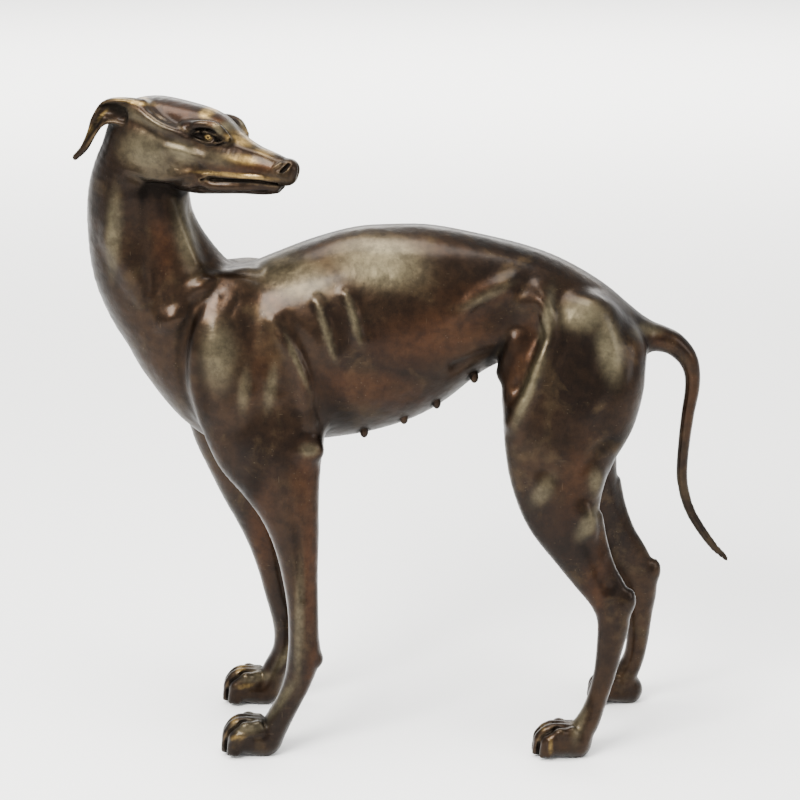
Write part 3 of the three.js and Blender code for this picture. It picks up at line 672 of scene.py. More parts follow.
def claws(tip, heel, y, knuckle):
    at = along_paw(tip, heel)
    for place in TOES:
        back = toe_set_back(place)
        across = y + place * 13.4
        ball([at(0.36 + back), across, knuckle - 9], (9, 7, 7), blend=5, fine=True)
        ball([at(0.13 + back), across, knuckle * 0.56], (7, 7.4, 8), blend=5, fine=True)
        limb(cord([
            [at(0.14 + back), across, knuckle * 0.42],
            [at(0.06 + back), across, knuckle * 0.3],
            [at(0.03 + back), across, knuckle * 0.14],
        ], (5, 4.8, 3.6)), blend=4, fine=True)
    for place in TOE_GAPS:
        across = y + place * 13.2
        shift = 0.07 if place else 0
        limb(cord([
            [at(0.36 + shift), across, knuckle - 18],
            [at(0.22 + shift), across, knuckle * 0.5],
            [at(0.20 + shift), across, 9],
        ], 6), blend=5, fine=True)
        limb(cord([
            [at(0.46 + shift), across, knuckle + 1],
            [at(0.26 + shift), across, knuckle - 9],
            [at(0.08 + shift), across, knuckle * 0.62],
            [at(0.03 + shift), across, knuckle * 0.3],
            [at(0.08 + shift), across, 2],
        ], (0.8, 1.4, 1.7, 1.8, 1.6)), blend=3, cut=True, fine=True)


for tip, heel, y, knuckle in PAWS:
    claws(tip, heel, y, knuckle)
print("with the carving:", len(volumes), "volumes")

# %% [markdown]
# ## Reading the clay anywhere
# One function gives the distance at any points. Points are sorted by height once, and each lump
# only looks at the points in its own box, so a million points take seconds.

# %% The field
def field(points, rough=False):
    """The distance at each point; a rough reading leaves out the work of the small tools."""
    order = np.argsort(points[:, 2], kind="stable")
    ordered = points[order]
    heights = ordered[:, 2]
    value = np.full(len(ordered), OUTSIDE)
    for low, high, pieces, blend, cut, fine in volumes:
        if rough and fine:
            continue
        first, last = np.searchsorted(heights, (low[2], high[2]))
        block = ordered[first:last]
        near = first + np.flatnonzero(((block >= low) & (block <= high)).all(axis=1))
        if not near.size:
            continue
        own = np.full(len(near), OUTSIDE)
        close = ordered[near]
        for piece_low, piece_high, distance in pieces:
            hit = np.flatnonzero(((close >= piece_low) & (close <= piece_high)).all(axis=1))
            if hit.size:
                own[hit] = np.minimum(own[hit], distance(close[hit]))
        touched = own < OUTSIDE
        near, own = near[touched], own[touched]
        value[near] = -melt(-value[near], own, blend) if cut else melt(value[near], own, blend)
    result = np.empty_like(value)
    result[order] = value
    return result


# %% [markdown]
# ## One skin over everything
# The field is read on a grid of points 5 mm apart, and OpenVDB, the volume library inside
# Blender, lays a mesh of four-sided faces where it crosses zero. Each is cut into two triangles.

# %% Skin
GRID_STEP = 6.25
LOW, HIGH = np.array([-487.5, -150.0, -18.75]), np.array([525.0, 150.0, 1018.75])
counts = np.round((HIGH - LOW) / GRID_STEP).astype(int) + 1
lattice = np.stack(np.meshgrid(
    *[LOW[n] + GRID_STEP * np.arange(counts[n]) for n in range(3)], indexing="ij"), axis=-1)
grid = openvdb.FloatGrid()
rough = field(lattice.reshape(-1, 3), rough=True)
grid.copyFromArray(rough.reshape(counts).astype(np.float32))
points, _, quads = grid.convertToPolygons(0.0, 0.0)
points = LOW + GRID_STEP * points.astype(float)
quads = quads.astype(int)
print("skin:", len(points), "points,", len(quads), "faces")


def lengths_between(first, second):
    """The distances between points, which are given by their numbers."""
    return np.linalg.norm(points[first] - points[second], axis=1)


def triangles_of(quads):
    """Each four-sided face cut along its shorter diagonal."""
    a, b, c, d = quads.T
    across = lengths_between(a, c) <= lengths_between(b, d)
    first = np.where(across[:, None], np.stack([a, b, c], 1), np.stack([a, b, d], 1))
    second = np.where(across[:, None], np.stack([a, c, d], 1), np.stack([b, c, d], 1))
    return np.vstack([first, second])


triangles = triangles_of(quads)

# %% [markdown]
# ## Settling the skin
# The mesh is only as good as its grid, so we let it relax. Each point moves towards the middle of
# its neighbours, then along its normal back to where the field is zero. A few rounds give even
# triangles that lie on the clay.

# %% Normals, neighbours and settling
def face_normals(points, triangles):
    a, b, c = (points[triangles[:, n]] for n in range(3))
    return np.cross(b - a, c - a)


def gather(count, indices, values):
    """The sum of the values that belong to each point."""
    return np.stack([np.bincount(indices, weights=column, minlength=count) for column in values.T], 1)


def normals_of(points, triangles):
    faces = face_normals(points, triangles)
    total = gather(len(points), triangles.T.ravel(), np.tile(faces, (3, 1)))
    return total / np.maximum(np.linalg.norm(total, axis=1, keepdims=True), 1e-9)


def middle_of_neighbours(values, triangles):
    start, end = triangles.T.ravel(), np.roll(triangles, -1, axis=1).T.ravel()
    both = np.concatenate([start, end])
    other = np.concatenate([end, start])
    total = gather(len(values), both, values[other])
    return total / np.bincount(both, minlength=len(values))[:, None]


STEP_SHARE, LONGEST_STEP = 0.85, 4


def settle(points, triangles, rounds, slack=0.0, rough=False, moving=None):
    """Relaxes the points, or only those that are moving, and lays them back on the clay."""
    moving = np.ones(len(points), bool) if moving is None else moving
    for _ in range(rounds):
        relaxed = points + slack * (middle_of_neighbours(points, triangles) - points)
        points = np.where(moving[:, None], relaxed, points)
        step = np.clip(STEP_SHARE * field(points[moving], rough), -LONGEST_STEP, LONGEST_STEP)
        points[moving] -= normals_of(points, triangles)[moving] * step[:, None]
    return points


points = settle(points, triangles, 4, slack=0.5, rough=True)

# %% [markdown]
# ## Finer where the carving is
# Eyes and claws need small triangles, the ribs don't. Each place says how long an edge may be
# there. An edge that is too long is cut in the middle, and each triangle is split to match, so
# the skin never tears.

# %% Where the skin is fine
def in_head(points):
    """The places of points in the head's own frame."""
    return (points - SKULL) @ HEAD_AXES.T


def gap_to_box(points, low, high):
    """How far each point is from a box; nothing for points inside it."""
    low, high = np.array(low, float), np.array(high, float)
    return np.linalg.norm(np.maximum(np.maximum(low - points, points - high), 0), axis=1)


LONGEST_ANYWHERE = 8.5
WHOLE_HEAD = ((-110, -62, -60), (226, 55, 62), 4.2)
NEAR_EAR = ((-100, -68, -40), (-24, -44, 54), 2.5)
EYE_MOUTH_AND_NOSE = [
    ((64, -48, 10), (124, -28, 46), 1.6),
    ((86, -40, -56), (206, -4, -24), 2.15),
    ((194, -20, -30), (226, 0, 8), 1.9),
]
FAR_FACE_SHARE = 1.3


def longest_edge(points):
    """The longest edge wanted at each point; it grows with the gap to the fine places."""
    head = in_head(points)
    mirrored = head * (1, -1, 1)
    fine_places = [(gap_to_box(head, low, high), edge) for low, high, edge in (WHOLE_HEAD, NEAR_EAR)]
    for low, high, edge in EYE_MOUTH_AND_NOSE:
        fine_places.append((gap_to_box(head, low, high), edge))
        fine_places.append((gap_to_box(mirrored, low, high), edge * FAR_FACE_SHARE))
    for tip, heel, y, knuckle in PAWS:
        toes = gap_to_box(points, (tip - 4, y - 30, 0), (tip + 46, y + 30, knuckle + 2))
        foot = gap_to_box(points, (tip, y - 34, 0), (heel + 20, y + 34, knuckle + 10))
        fine_places += [(toes, 3.6), (foot, 5)]
    wanted = np.full(len(points), LONGEST_ANYWHERE)
    for gap, edge in fine_places:
        wanted = np.minimum(wanted, edge + 0.25 * gap)
    for x, z in TEATS:
        away = np.stack(
            [points[:, 0] - x, np.abs(points[:, 1]) - TEAT_OUT, points[:, 2] - z + 4], axis=1)
        gap = np.linalg.norm(away, axis=1)
        wanted = np.minimum(wanted, 2.3 + 0.3 * np.maximum(gap - 9, 0))
    return wanted


# %% Splitting long edges
def split_long_edges(points, triangles):
    """Cuts every edge that is too long once, and splits its triangles to match."""
    sides = np.sort(np.stack([triangles, np.roll(triangles, -1, axis=1)], axis=2), axis=2)
    edges, where = np.unique(sides.reshape(-1, 2), axis=0, return_inverse=True)
    a, b = points[edges[:, 0]], points[edges[:, 1]]
    middle = (a + b) / 2
    long = np.linalg.norm(b - a, axis=1) > longest_edge(middle)
    number = np.full(len(edges), -1)
    number[long] = len(points) + np.arange(long.sum())
    points = np.vstack([points, middle[long]])
    cut = number[where.reshape(-1, 3)]
    count = (cut >= 0).sum(axis=1)
    kept = [triangles[count == 0]]
    whole, mid = triangles[count == 3], cut[count == 3]
    kept.append(mid)
    for n in range(3):
        kept.append(np.stack([whole[:, n], mid[:, n], mid[:, n - 1]], axis=1))
        order = [n, (n + 1) % 3, (n + 2) % 3]
        one = (count == 1) & (cut[:, n] >= 0)
        p, q, r = triangles[one][:, order].T
        m = cut[one, n]
        kept += [np.stack([p, m, r], axis=1), np.stack([m, q, r], axis=1)]
        two = (count == 2) & (cut[:, order[2]] < 0)
        p, q, r = triangles[two][:, order].T
        m, k = cut[two, order[0]], cut[two, order[1]]
        kept.append(np.stack([m, q, k], axis=1))
        short = (np.linalg.norm(points[p] - points[k], axis=1)
                 < np.linalg.norm(points[m] - points[r], axis=1))
        kept.append(np.where(short[:, None], np.stack([p, m, k], 1), np.stack([p, m, r], 1)))
        kept.append(np.where(short[:, None], np.stack([p, k, r], 1), np.stack([m, k, r], 1)))
    return points, np.vstack(kept)


SPLITS = 5
NEARLY_COARSE = 8
for turn in range(SPLITS):
    points, triangles = split_long_edges(points, triangles)
    moving = longest_edge(points) < NEARLY_COARSE if turn else None
    points = settle(points, triangles, 3, slack=0.35, rough=turn == 0, moving=moving)
    print("after split", turn + 1, len(triangles), "triangles")
points = settle(points, triangles, 2)

# %% [markdown]
# Where a cut is very narrow, a few triangles can fold back over their neighbours and would show as
# black slivers. A triangle is folded when it faces away from the skin around it. Its corners are
# moved to the middle of their neighbours, a few times over, and nothing else is touched.

# %% Smoothing out folds
FOLD_ROUNDS = 6
FOLDED_BELOW = 0.35


def folded_points(points, triangles):
    """The corners of triangles that face away from the skin around them."""
    faces = face_normals(points, triangles)
    faces /= np.maximum(np.linalg.norm(faces, axis=1, keepdims=True), 1e-9)
    around = normals_of(points, triangles)[triangles].mean(axis=1)
    folded = np.zeros(len(points), bool)
    folded[triangles[(faces * around).sum(axis=1) < FOLDED_BELOW].ravel()] = True
    return folded


for turn in range(FOLD_ROUNDS):
    folded = folded_points(points, triangles)
    points[folded] = middle_of_neighbours(points, triangles)[folded]
print("points in folds after smoothing them out:", folded_points(points, triangles).sum())

# %% [markdown]
# ## Pressed ridges and grooves
# The last shapes are the lines a thumb and a wooden tool leave in the clay: the edges of muscles,
# the ribs, the bones of the cheek. Each line is drawn in side view, with a height in thousandths
# (less than nothing for a groove) and a half width. The skin is moved along its own normal, most
# on the line and less and less beside it. This costs no extra triangles. The body's and the
# head's lines are pressed on both sides, and the third list only on her near side.

# %% Lines in side view
BODY_LINES = [
    (2.2, 13, [(-410, 869), (-427, 795), (-388, 740), (-371, 720)]),
    (-2.2, 12, [(-363, 847), (-357, 795), (-356, 743), (-357, 705)]),
    (2.2, 12, [(-335, 838), (-319, 794), (-308, 757)]),
    (1.6, 10, [(-254, 750), (-291, 699), (-306, 632), (-306, 574), (-296, 530)]),
    (-1.6, 9, [(-218, 598), (-222, 548)]),
    (-1.6, 9, [(-188, 594), (-176, 568)]),
    (1.6, 9, [(-179, 666), (-158, 638), (-144, 605), (-137, 585)]),
    (-1.6, 9, [(-166, 672), (-144, 640), (-130, 606), (-122, 580)]),
    (2.2, 7, [(-124, 716), (-105, 676), (-95, 618)]),
    (-1.1, 9, [(-99, 714), (-86, 684), (-77, 640)]),
    (2.2, 7, [(-81, 726), (-67, 691), (-56, 642)]),
    (-0.9, 9, [(-56, 722), (-46, 694), (-38, 655)]),
    (1.4, 10, [(91, 691), (110, 709), (139, 724), (163, 733)]),
    (2.5, 10, [(197, 716), (213, 697), (219, 667), (205, 618), (191, 580), (166, 522)]),
    (-2.0, 10, [(182, 702), (198, 682), (203, 662), (190, 618), (176, 580), (152, 524)]),
    (1.4, 9, [(155, 611), (172, 649)]),
    (2.4, 10, [(-233, 612), (-228, 552)]),
    (2.2, 9, [(-202, 612), (-190, 556)]),
    (2.2, 14, [(-272, 690), (-270, 575)]),
]
NEAR_LINES = [
    (1.6, 9, [(-301, 720), (-283, 731)]),
    (1.6, 9, [(-346, 668), (-324, 688)]),
    (-1.3, 7, [(-254, 720), (-265, 690)]),
    (-1.3, 7, [(-241, 711), (-250, 681)]),
    (-1.1, 7, [(-272, 714), (-279, 693)]),
    (-1.4, 8, [(318, 499), (292, 480), (266, 462)]),
    (1.4, 5, [(300, 369), (307, 325), (295, 293), (286, 250)]),
    (2.2, 5, [(-143, 330), (-145, 254), (-146, 190), (-150, 166), (-155, 138), (-163, 109),
              (-179, 81), (-200, 52)]),
    (-1.2, 6, [(-133, 330), (-134, 254), (-135, 190), (-140, 160), (-146, 132), (-153, 104),
               (-168, 74), (-186, 52)]),
    (2.4, 3.5, [(-200, 52), (-210, 42), (-229, 43), (-248, 41), (-261, 32)]),
    (-1.6, 3, [(-250, 36), (-247, 25), (-249, 10)]),
    (-1.8, 3, [(221, 38), (222, 24), (224, 11)]),
    (1.4, 3, [(226, 38), (227, 24), (229, 11)]),
]
HEAD_LINES = [
    (2.2, 4.5, [(-32, 48), (9, 37), (45, 26), (68, 23)]),
    (-0.9, 6, [(-30, 38), (9, 27), (45, 16), (64, 12)]),
    (0.9, 7, [(36, 3), (70, -1), (95, -6), (112, -12)]),
    (-0.9, 6, [(44, -9), (70, -12), (92, -19)]),
    (3.2, 7, [(-24, -44), (9, -54), (36, -51), (63, -42), (90, -26)]),
    (-2.8, 5, [(-24, -54), (9, -66), (40, -62), (66, -53), (88, -42)]),
    (1.2, 4, [(120, 16), (140, 12), (170, 8), (198, 3)]),
]

# %% [markdown]
# Dirt gathers in hollows, painted shade darkens them too, and hands rub the edges, so we measure the
# hollows and the edges now, while the skin still lies on the clay. We step a little way out from the
# skin and a little way in, and ask the field how far away the skin seems from there. In a hollow it
# seems nearer than the step, and so it does behind a sharp edge.

# %% Hollows and sharp edges
HOLLOW_REACHES, EDGE_REACHES = (4, 8, 14), (2.5, 4.5)
normals = normals_of(points, triangles)
# The hollow amount darkens the patina in the hollows, partly as real dirt and partly as painted shade.
hollowness = sum(
    np.clip(1 - field(points + normals * reach) / reach, 0, 1) for reach in HOLLOW_REACHES
) / len(HOLLOW_REACHES)
sharpness = sum(
    np.clip(1 + field(points - normals * reach) / reach, 0, 1) for reach in EDGE_REACHES
) / len(EDGE_REACHES)
print("hollow", round(hollowness.mean(), 3), "sharp", round(sharpness.mean(), 3), "on average")

# %% Pressing the lines
END_SHARPNESS = 4
FACES_AWAY, FACES_TOOL = 0.05, 0.5
BESIDE_MIDDLE = 8
HEAD_REACH = (240, 75, 90)


def stroke(flat, line, width):
    """One stroke of the tool: deepest on the bent line, and fading beside it and towards its ends."""
    corners = np.array(line, float)
    lengths = np.linalg.norm(np.diff(corners, axis=0), axis=1)
    before = np.concatenate([[0], np.cumsum(lengths)])
    nearest, reached = np.full(len(flat), OUTSIDE), np.zeros(len(flat))
    for a, b, length, start in zip(corners, corners[1:], lengths, before):
        share = np.clip((flat - a) @ (b - a) / length**2, 0, 1)
        gap = np.linalg.norm(flat - a - share[:, None] * (b - a), axis=1)
        closer = gap < nearest
        nearest[closer] = gap[closer]
        reached[closer] = (start + share * length)[closer] / before[-1]
    ends = 1 - np.abs(2 * reached - 1) ** END_SHARPNESS
    return np.exp(-(nearest / width) ** 2) * ends


def smooth_step(value, low, high):
    """0 below the low value, 1 above the high one, smooth between."""
    share = np.clip((value - low) / (high - low), 0, 1)
    return share * share * (3 - 2 * share)


def pressed(flat, facing, lines):
    """How high each point is raised by the lines, where the skin faces the tool."""
    raised = sum(height * stroke(flat, line, width) for height, width, line in lines)
    return raised * smooth_step(facing, FACES_AWAY, FACES_TOOL)


side_view = points[:, (0, 2)]
head_places = in_head(points)
head_view = head_places[:, (0, 2)]
near_head = (np.abs(head_places) < HEAD_REACH).all(axis=1)
raised = pressed(side_view, -normals[:, 1], NEAR_LINES) * (points[:, 1] < 0)
for side in SIDES:
    on_side = points[:, 1] * side > BESIDE_MIDDLE
    raised += pressed(side_view, side * normals[:, 1], BODY_LINES) * on_side
    on_face = (head_places[:, 1] * side > BESIDE_MIDDLE) & near_head
    raised += pressed(head_view, side * normals @ LEFTWARD, HEAD_LINES) * on_face
points = points + normals * raised[:, None]
print("lines pressed between", round(raised.min(), 1), "and", round(raised.max(), 1), "thousandths")

# %% [markdown]
# ## Standing on the floor
# The soles are rubbed flat, so that the statue doesn't rock. Every point under the floor is
# brought up to it. Then the whole figure is turned from thousandths into metres and set where the
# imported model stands, with the middle of the figure over the origin. No point may leave the box
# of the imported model, so the skin is clipped to it.

# %% Floor and place
points[:, 2] = np.maximum(points[:, 2], 0)
corner_low, corner_high = (np.array(corner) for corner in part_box("greyhound"))
MIDDLE_OF_FIGURE = np.array([14.716, 0.93, 0])
STANDING_PLACE = -METRES_PER_THOUSANDTH * MIDDLE_OF_FIGURE
packed = np.array([vertex.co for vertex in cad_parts["greyhound"].data.vertices])
off_the_clay = np.abs(field((packed - STANDING_PLACE) / METRES_PER_THOUSANDTH, rough=True))
print("packed corners lie", round(off_the_clay.mean() * METRES_PER_THOUSANDTH * 1000, 3),
      "mm off the clay")

# %% Mesh
def mesh_from(name, points, triangles):
    mesh = bpy.data.meshes.new(name)
    mesh.vertices.add(len(points))
    mesh.vertices.foreach_set("co", points.astype(np.float32).ravel())
    mesh.loops.add(3 * len(triangles))
    mesh.loops.foreach_set("vertex_index", triangles.astype(np.int32).ravel())
    mesh.polygons.add(len(triangles))
    mesh.polygons.foreach_set("loop_start", np.arange(0, 3 * len(triangles), 3, dtype=np.int32))
    mesh.polygons.foreach_set("use_smooth", np.ones(len(triangles), bool))
    mesh.update(calc_edges=True)
    mesh.validate()
    return mesh


in_metres = np.clip(points * METRES_PER_THOUSANDTH + STANDING_PLACE, corner_low, corner_high)
skin = mesh_from("greyhound_bronze", in_metres, triangles)
body = bpy.data.objects.new("greyhound_bronze", skin)
bpy.context.scene.collection.objects.link(body)
print("piece", body.name, len(body.data.polygons), "triangles")

# %% Ride on the frame
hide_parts("greyhound")
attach(body, "root")

# %% [markdown]
# ## Where the patina and the painted light change
# The brown isn't even. Wax and dirt stay in the hollows, and painted shade darkens the hollows, the
# undersides and the deep places of the eyes, ears, mouth, neck and flank. Edges are rubbed. The
# founder's torch left reddish places on the flank and the legs. Painted highlights, tinted olive,
# lie where the shoulders, ribs and haunches catch the light. Hands laid bare golden metal on the
# muzzle and toes. Such places are soft ovals in side view, so the far side gets them too. Each has
# a place, half a length, half a width, a lean in degrees and a strength.

# %% Patches in side view
# Painted highlights: pale olive ovals where the lamps catch the neck, shoulders, ribs, thighs and
# haunches.
PAINTED_HIGHLIGHT_BODY = [
    (-417, 806, 60, 11, 85, 0.8), (-314, 806, 50, 13, 100, 0.8), (-160, 742, 62, 26, -8, 0.5),
    (-26, 762, 60, 32, -6, 1.0), (268, 686, 34, 20, 0, 1.0), (307, 638, 46, 17, 100, 1.0),
    (215, 677, 42, 8, 80, 1.0), (190, 584, 62, 8, 70, 1.0), (-266, 628, 46, 24, 90, 0.8),
    (-109, 670, 42, 5, 107, 0.8), (-68, 686, 36, 5, 106, 0.8), (-151, 622, 42, 4, 112, 0.7),
    (-229, 580, 32, 9, 85, 0.6), (-190, 580, 34, 8, 80, 0.6), (-152, 220, 90, 7, 88, 0.6),
    (-182, 92, 40, 7, 55, 0.7), (-230, 52, 26, 8, 5, 0.6), (212, 428, 26, 12, 60, 0.6),
    (290, 440, 20, 10, 90, 0.6), (280, 375, 26, 12, 60, 0.7), (-134, 488, 13, 9, 0, 0.8),
    (125, 714, 38, 7, 25, 0.6), (368, 652, 24, 8, -10, 0.6), (274, 72, 40, 9, 80, 0.7),
    (-345, 905, 40, 18, 20, 0.4),
]
WARM_BODY = [
    (51, 659, 95, 42, 8, 1.0), (-44, 575, 95, 32, -12, 0.8), (-138, 436, 60, 26, 85, 0.8),
    (-133, 310, 110, 16, 88, 1.0), (-215, 320, 130, 26, 82, 0.7), (-130, 150, 70, 10, 80, 0.7),
    (176, 621, 70, 22, 70, 0.7), (-347, 790, 55, 15, 95, 0.9), (288, 246, 110, 20, 80, 0.7),
    (261, 452, 70, 24, 80, 0.6), (-206, 606, 50, 30, 80, 0.4), (380, 630, 40, 22, 0, 0.5),
    (440, 540, 60, 16, 90, 0.5), (110, 715, 60, 20, 0, 0.6),
]
# Painted highlights on the head: pale olive ovals on the cheeks, temples, muzzle and lids.
PAINTED_HIGHLIGHT_HEAD = [
    (6, -16, 40, 26, 0, 0.9), (63, -6, 26, 15, -10, 0.8), (-10, 30, 50, 8, -10, 0.5),
    (110, -6, 30, 10, -5, 0.4), (111, 36, 9, 5, -45, 0.8),
]
WARM_HEAD = [
    (37, 50, 34, 12, -8, 0.8), (97, 50, 14, 9, -30, 1.0), (166, -9, 30, 8, 5, 1.0),
    (135, -20, 40, 8, 5, 0.6),
]
GOLD_HEAD = [
    (96, 22, 5.5, 5.5, 0, 0.6), (-42, 50, 34, 3, -3, 0.7), (-84, 0, 34, 2.5, 62, 0.6),
    (140, -26, 50, 3, 5, 0.6), (142, 24, 24, 7, -8, 0.75), (172, 15, 16, 6, -8, 0.5),
    (77, 51, 9, 6, -20, 0.9), (150, -2, 22, 6, 0, 0.45),
]
# Painted shade on the head: dark ovals in the corners and lids of the eyes, the ear hollow and fold,
# the nostrils, the mouth slit and under the jaw.
PAINTED_SHADE_HEAD = [
    (78, 21, 11, 6, 0, 1.0), (112, 22, 9, 6, 0, 1.0), (95, 29, 14, 3, 0, 0.8),
    (95, 15, 14, 2.5, 0, 0.7), (-50, 32, 22, 13, 5, 1.0), (-86, -8, 44, 4.5, 62, 1.0),
    (207, -8, 9, 5, 60, 0.8), (150, -33, 60, 2.5, 7, 0.8), (91, 32, 14, 3.5, 10, 0.5),
    (-60, 30, 30, 16, 15, 0.6), (20, -78, 50, 12, 10, 0.8), (-40, 0, 14, 26, 0, 0.4),
]
# Painted shade on the body: dark ovals in the flank hollow, the grooves of the neck and shoulder, and
# behind the elbows and knees.
PAINTED_SHADE_BODY = [
    (152, 600, 60, 16, 70, 0.7), (148, 678, 30, 22, 30, 0.5), (-290, 560, 90, 10, 92, 0.5),
    (-340, 845, 30, 34, 0, 0.6), (-100, 560, 60, 18, -60, 0.4), (230, 505, 50, 20, -20, 0.4),
    (315, 500, 34, 12, 30, 0.5), (-215, 440, 60, 14, 75, 0.4),
]
GOLD_BODY = [
    (-248, 38, 12, 4, 10, 0.4), (229, 26, 3, 11, 0, 0.4), (-258, 60, 8, 5, 0, 0.3),
    (214, 50, 7, 5, 0, 0.3),
]

# %% [markdown]
# All these amounts are worked out once for each corner of the skin and stored there under plain
# names. A material can read them by name, which is quicker than painting and needs no picture.

# %% Amounts for each corner
PATCH_SOFTNESS = 1.6


def patches(flat, ovals):
    """The strongest of some soft ovals at each point."""
    amount = np.zeros(len(flat))
    for x, z, length, width, lean, strength in ovals:
        away = flat - (x, z)
        turn = math.radians(lean)
        along = away @ (math.cos(turn), math.sin(turn))
        beside_it = away @ (-math.sin(turn), math.cos(turn))
        away_from_it = (along / length) ** 2 + (beside_it / width) ** 2
        amount = np.maximum(amount, strength * np.exp(-away_from_it**PATCH_SOFTNESS))
    return amount


def on_body_and_head(body_ovals, head_ovals):
    return np.maximum(patches(side_view, body_ovals), patches(head_view, head_ovals) * near_head)


amounts = {
    # hollow: darker patina in the hollows, partly dirt and partly painted shade.
    "hollow": hollowness,
    "sharp": sharpness,
    # under: painted shade, darker where the skin faces down, such as the belly and the insides of the
    # legs.
    "painted_underside_shade": smooth_step(-normals_of(points, triangles)[:, 2], 0.0, 0.8),
    # pale: painted highlight where the lamps catch the body and the head.
    "pale": on_body_and_head(PAINTED_HIGHLIGHT_BODY, PAINTED_HIGHLIGHT_HEAD),
    "warm": on_body_and_head(WARM_BODY, WARM_HEAD),
    "gold": on_body_and_head(GOLD_BODY, GOLD_HEAD),
    # dark: painted shade in the deep places of the head and the body.
    "painted_shade": on_body_and_head(PAINTED_SHADE_BODY, PAINTED_SHADE_HEAD),
}
for name, values in amounts.items():
    stored = body.data.attributes.new(name, "FLOAT", "POINT")
    stored.data.foreach_set("value", values.astype(np.float32))
    print(name, "from", round(float(values.min()), 2), "to", round(float(values.max()), 2),
          "mean", round(float(values.mean()), 3))

# %% [markdown]
# ## Sums with sockets
# The patina is many thin layers, and each layer is a sum of clouds and amounts. Wired by hand that
# is a thicket of nodes. So a small class wraps a socket, and a plus or a times between two of them
# adds the Math node. Then a layer reads like a recipe.

# %% A socket that can do sums
class Wire:
    """One output socket. + - * between wires and numbers add Math nodes."""

    def __init__(self, tree, socket=None):
        self.tree = tree
        self.socket = socket

    def node(self, kind, settings=None, inputs=None, output=0):
        """Adds any node: its settings are set first, then the values or links of its sockets."""
        made = self.tree.nodes.new("ShaderNode" + kind)
        for name, value in (settings or {}).items():
            setattr(made, name, value)
        for name, value in (inputs or {}).items():
            if isinstance(value, Wire):
                self.tree.links.new(value.socket, made.inputs[name])
            else:
                made.inputs[name].default_value = value
        return Wire(self.tree, made.outputs[output]) if len(made.outputs) else made

    def sum(self, operation, *values):
        return self.node("Math", {"operation": operation}, dict(enumerate(values)))

    def __add__(self, other):
        return self.sum("ADD", self, other)

    def __mul__(self, other):
        return self.sum("MULTIPLY", self, other)

    def __sub__(self, other):
        return self.sum("SUBTRACT", self, other)

    def __rsub__(self, other):
        return self.sum("SUBTRACT", other, self)

    __radd__ = __add__
    __rmul__ = __mul__

    def clamped(self):
        return self.sum("MINIMUM", self.sum("MAXIMUM", self, 0.0), 1.0)

    def ramp(self, low, high):
        """0 where the value is low, 1 where it is high, smooth between."""
        return self.node("MapRange", {"interpolation_type": "SMOOTHSTEP"},
                         {"Value": self, "From Min": low, "From Max": high})

    def mix(self, a, b):
        """Colour a where the value is 0, colour b where it is 1."""
        a, b = (c if isinstance(c, Wire) else (*c, 1.0) for c in (a, b))
        return self.node("Mix", {"data_type": "RGBA"}, {0: self, 6: a, 7: b}, output=2)


# %% [markdown]
# ## Clouds
# A noise texture is a cloud: big and lazy for the founder's torch, small for the tooth of the
# metal. All clouds use the statue's own places in metres, so they don't stretch anywhere.

# %% Clouds and amounts
bronze = bpy.data.materials.new("bronze_patina")
bronze.use_nodes = True
bronze.node_tree.nodes.clear()
wire = Wire(bronze.node_tree)
place_on_statue = wire.node("TexCoord", output=3)


def cloud(scale, detail, roughness=0.55, distortion=0.0):
    return wire.node("TexNoise", {"noise_dimensions": "3D"}, {
        "Vector": place_on_statue, "Scale": scale, "Detail": detail, "Roughness": roughness,
        "Distortion": distortion})


def amount(name):
    return wire.node("Attribute", {"attribute_name": name}, output=2)


broad = cloud(6.0, 3.0)
middling = cloud(22.0, 5.0, 0.6, 0.4)
small = cloud(75.0, 5.0, 0.65)
grain = cloud(420.0, 2.0)
hollow, sharp, painted_underside_shade = amount("hollow"), amount("sharp"), amount("painted_underside_shade")

# %% [markdown]
# ## Colours, from the ground up
# The founder's brown goes on first, in two depths that drift into each other. Over it lie the
# reddish parts and the painted olive highlights, each broken up by clouds, so that no edge is hard.
# Rubbed edges and golden spots come next. Dirt and painted shade go on last, in the hollows,
# underneath and in the dark ovals.

# %% Colours
DEEP_BROWN, OPEN_BROWN = (0.0064, 0.0031, 0.0015), (0.0155, 0.0078, 0.0035)
DRY_BROWN = (0.0265, 0.0165, 0.0076)
REDDISH = (0.027, 0.0100, 0.0031)
# The pale olive colour below is the colour of the painted highlights.
OLIVE_PAINTED_HIGHLIGHT = (0.098, 0.084, 0.051)
DIMMED, LIFTED = (0.66, 0.64, 0.62), (1.30, 1.28, 1.24)
RUBBED_EDGE = (0.100, 0.068, 0.034)
BARE_METAL = (0.300, 0.195, 0.062)
# The near-black colour below is the colour of dirt in pits and hollows, and of painted shade.
DIRT_AND_SHADE_COLOUR = (0.0018, 0.0011, 0.0007)
colour = broad.ramp(0.38, 0.62).mix(DEEP_BROWN, OPEN_BROWN)
colour = (middling.ramp(0.50, 0.66) * 0.75).mix(colour, DRY_BROWN)
warm = (amount("warm") * (0.35 + 1.3 * middling)).clamped()
colour = (warm * 0.8).mix(colour, REDDISH)
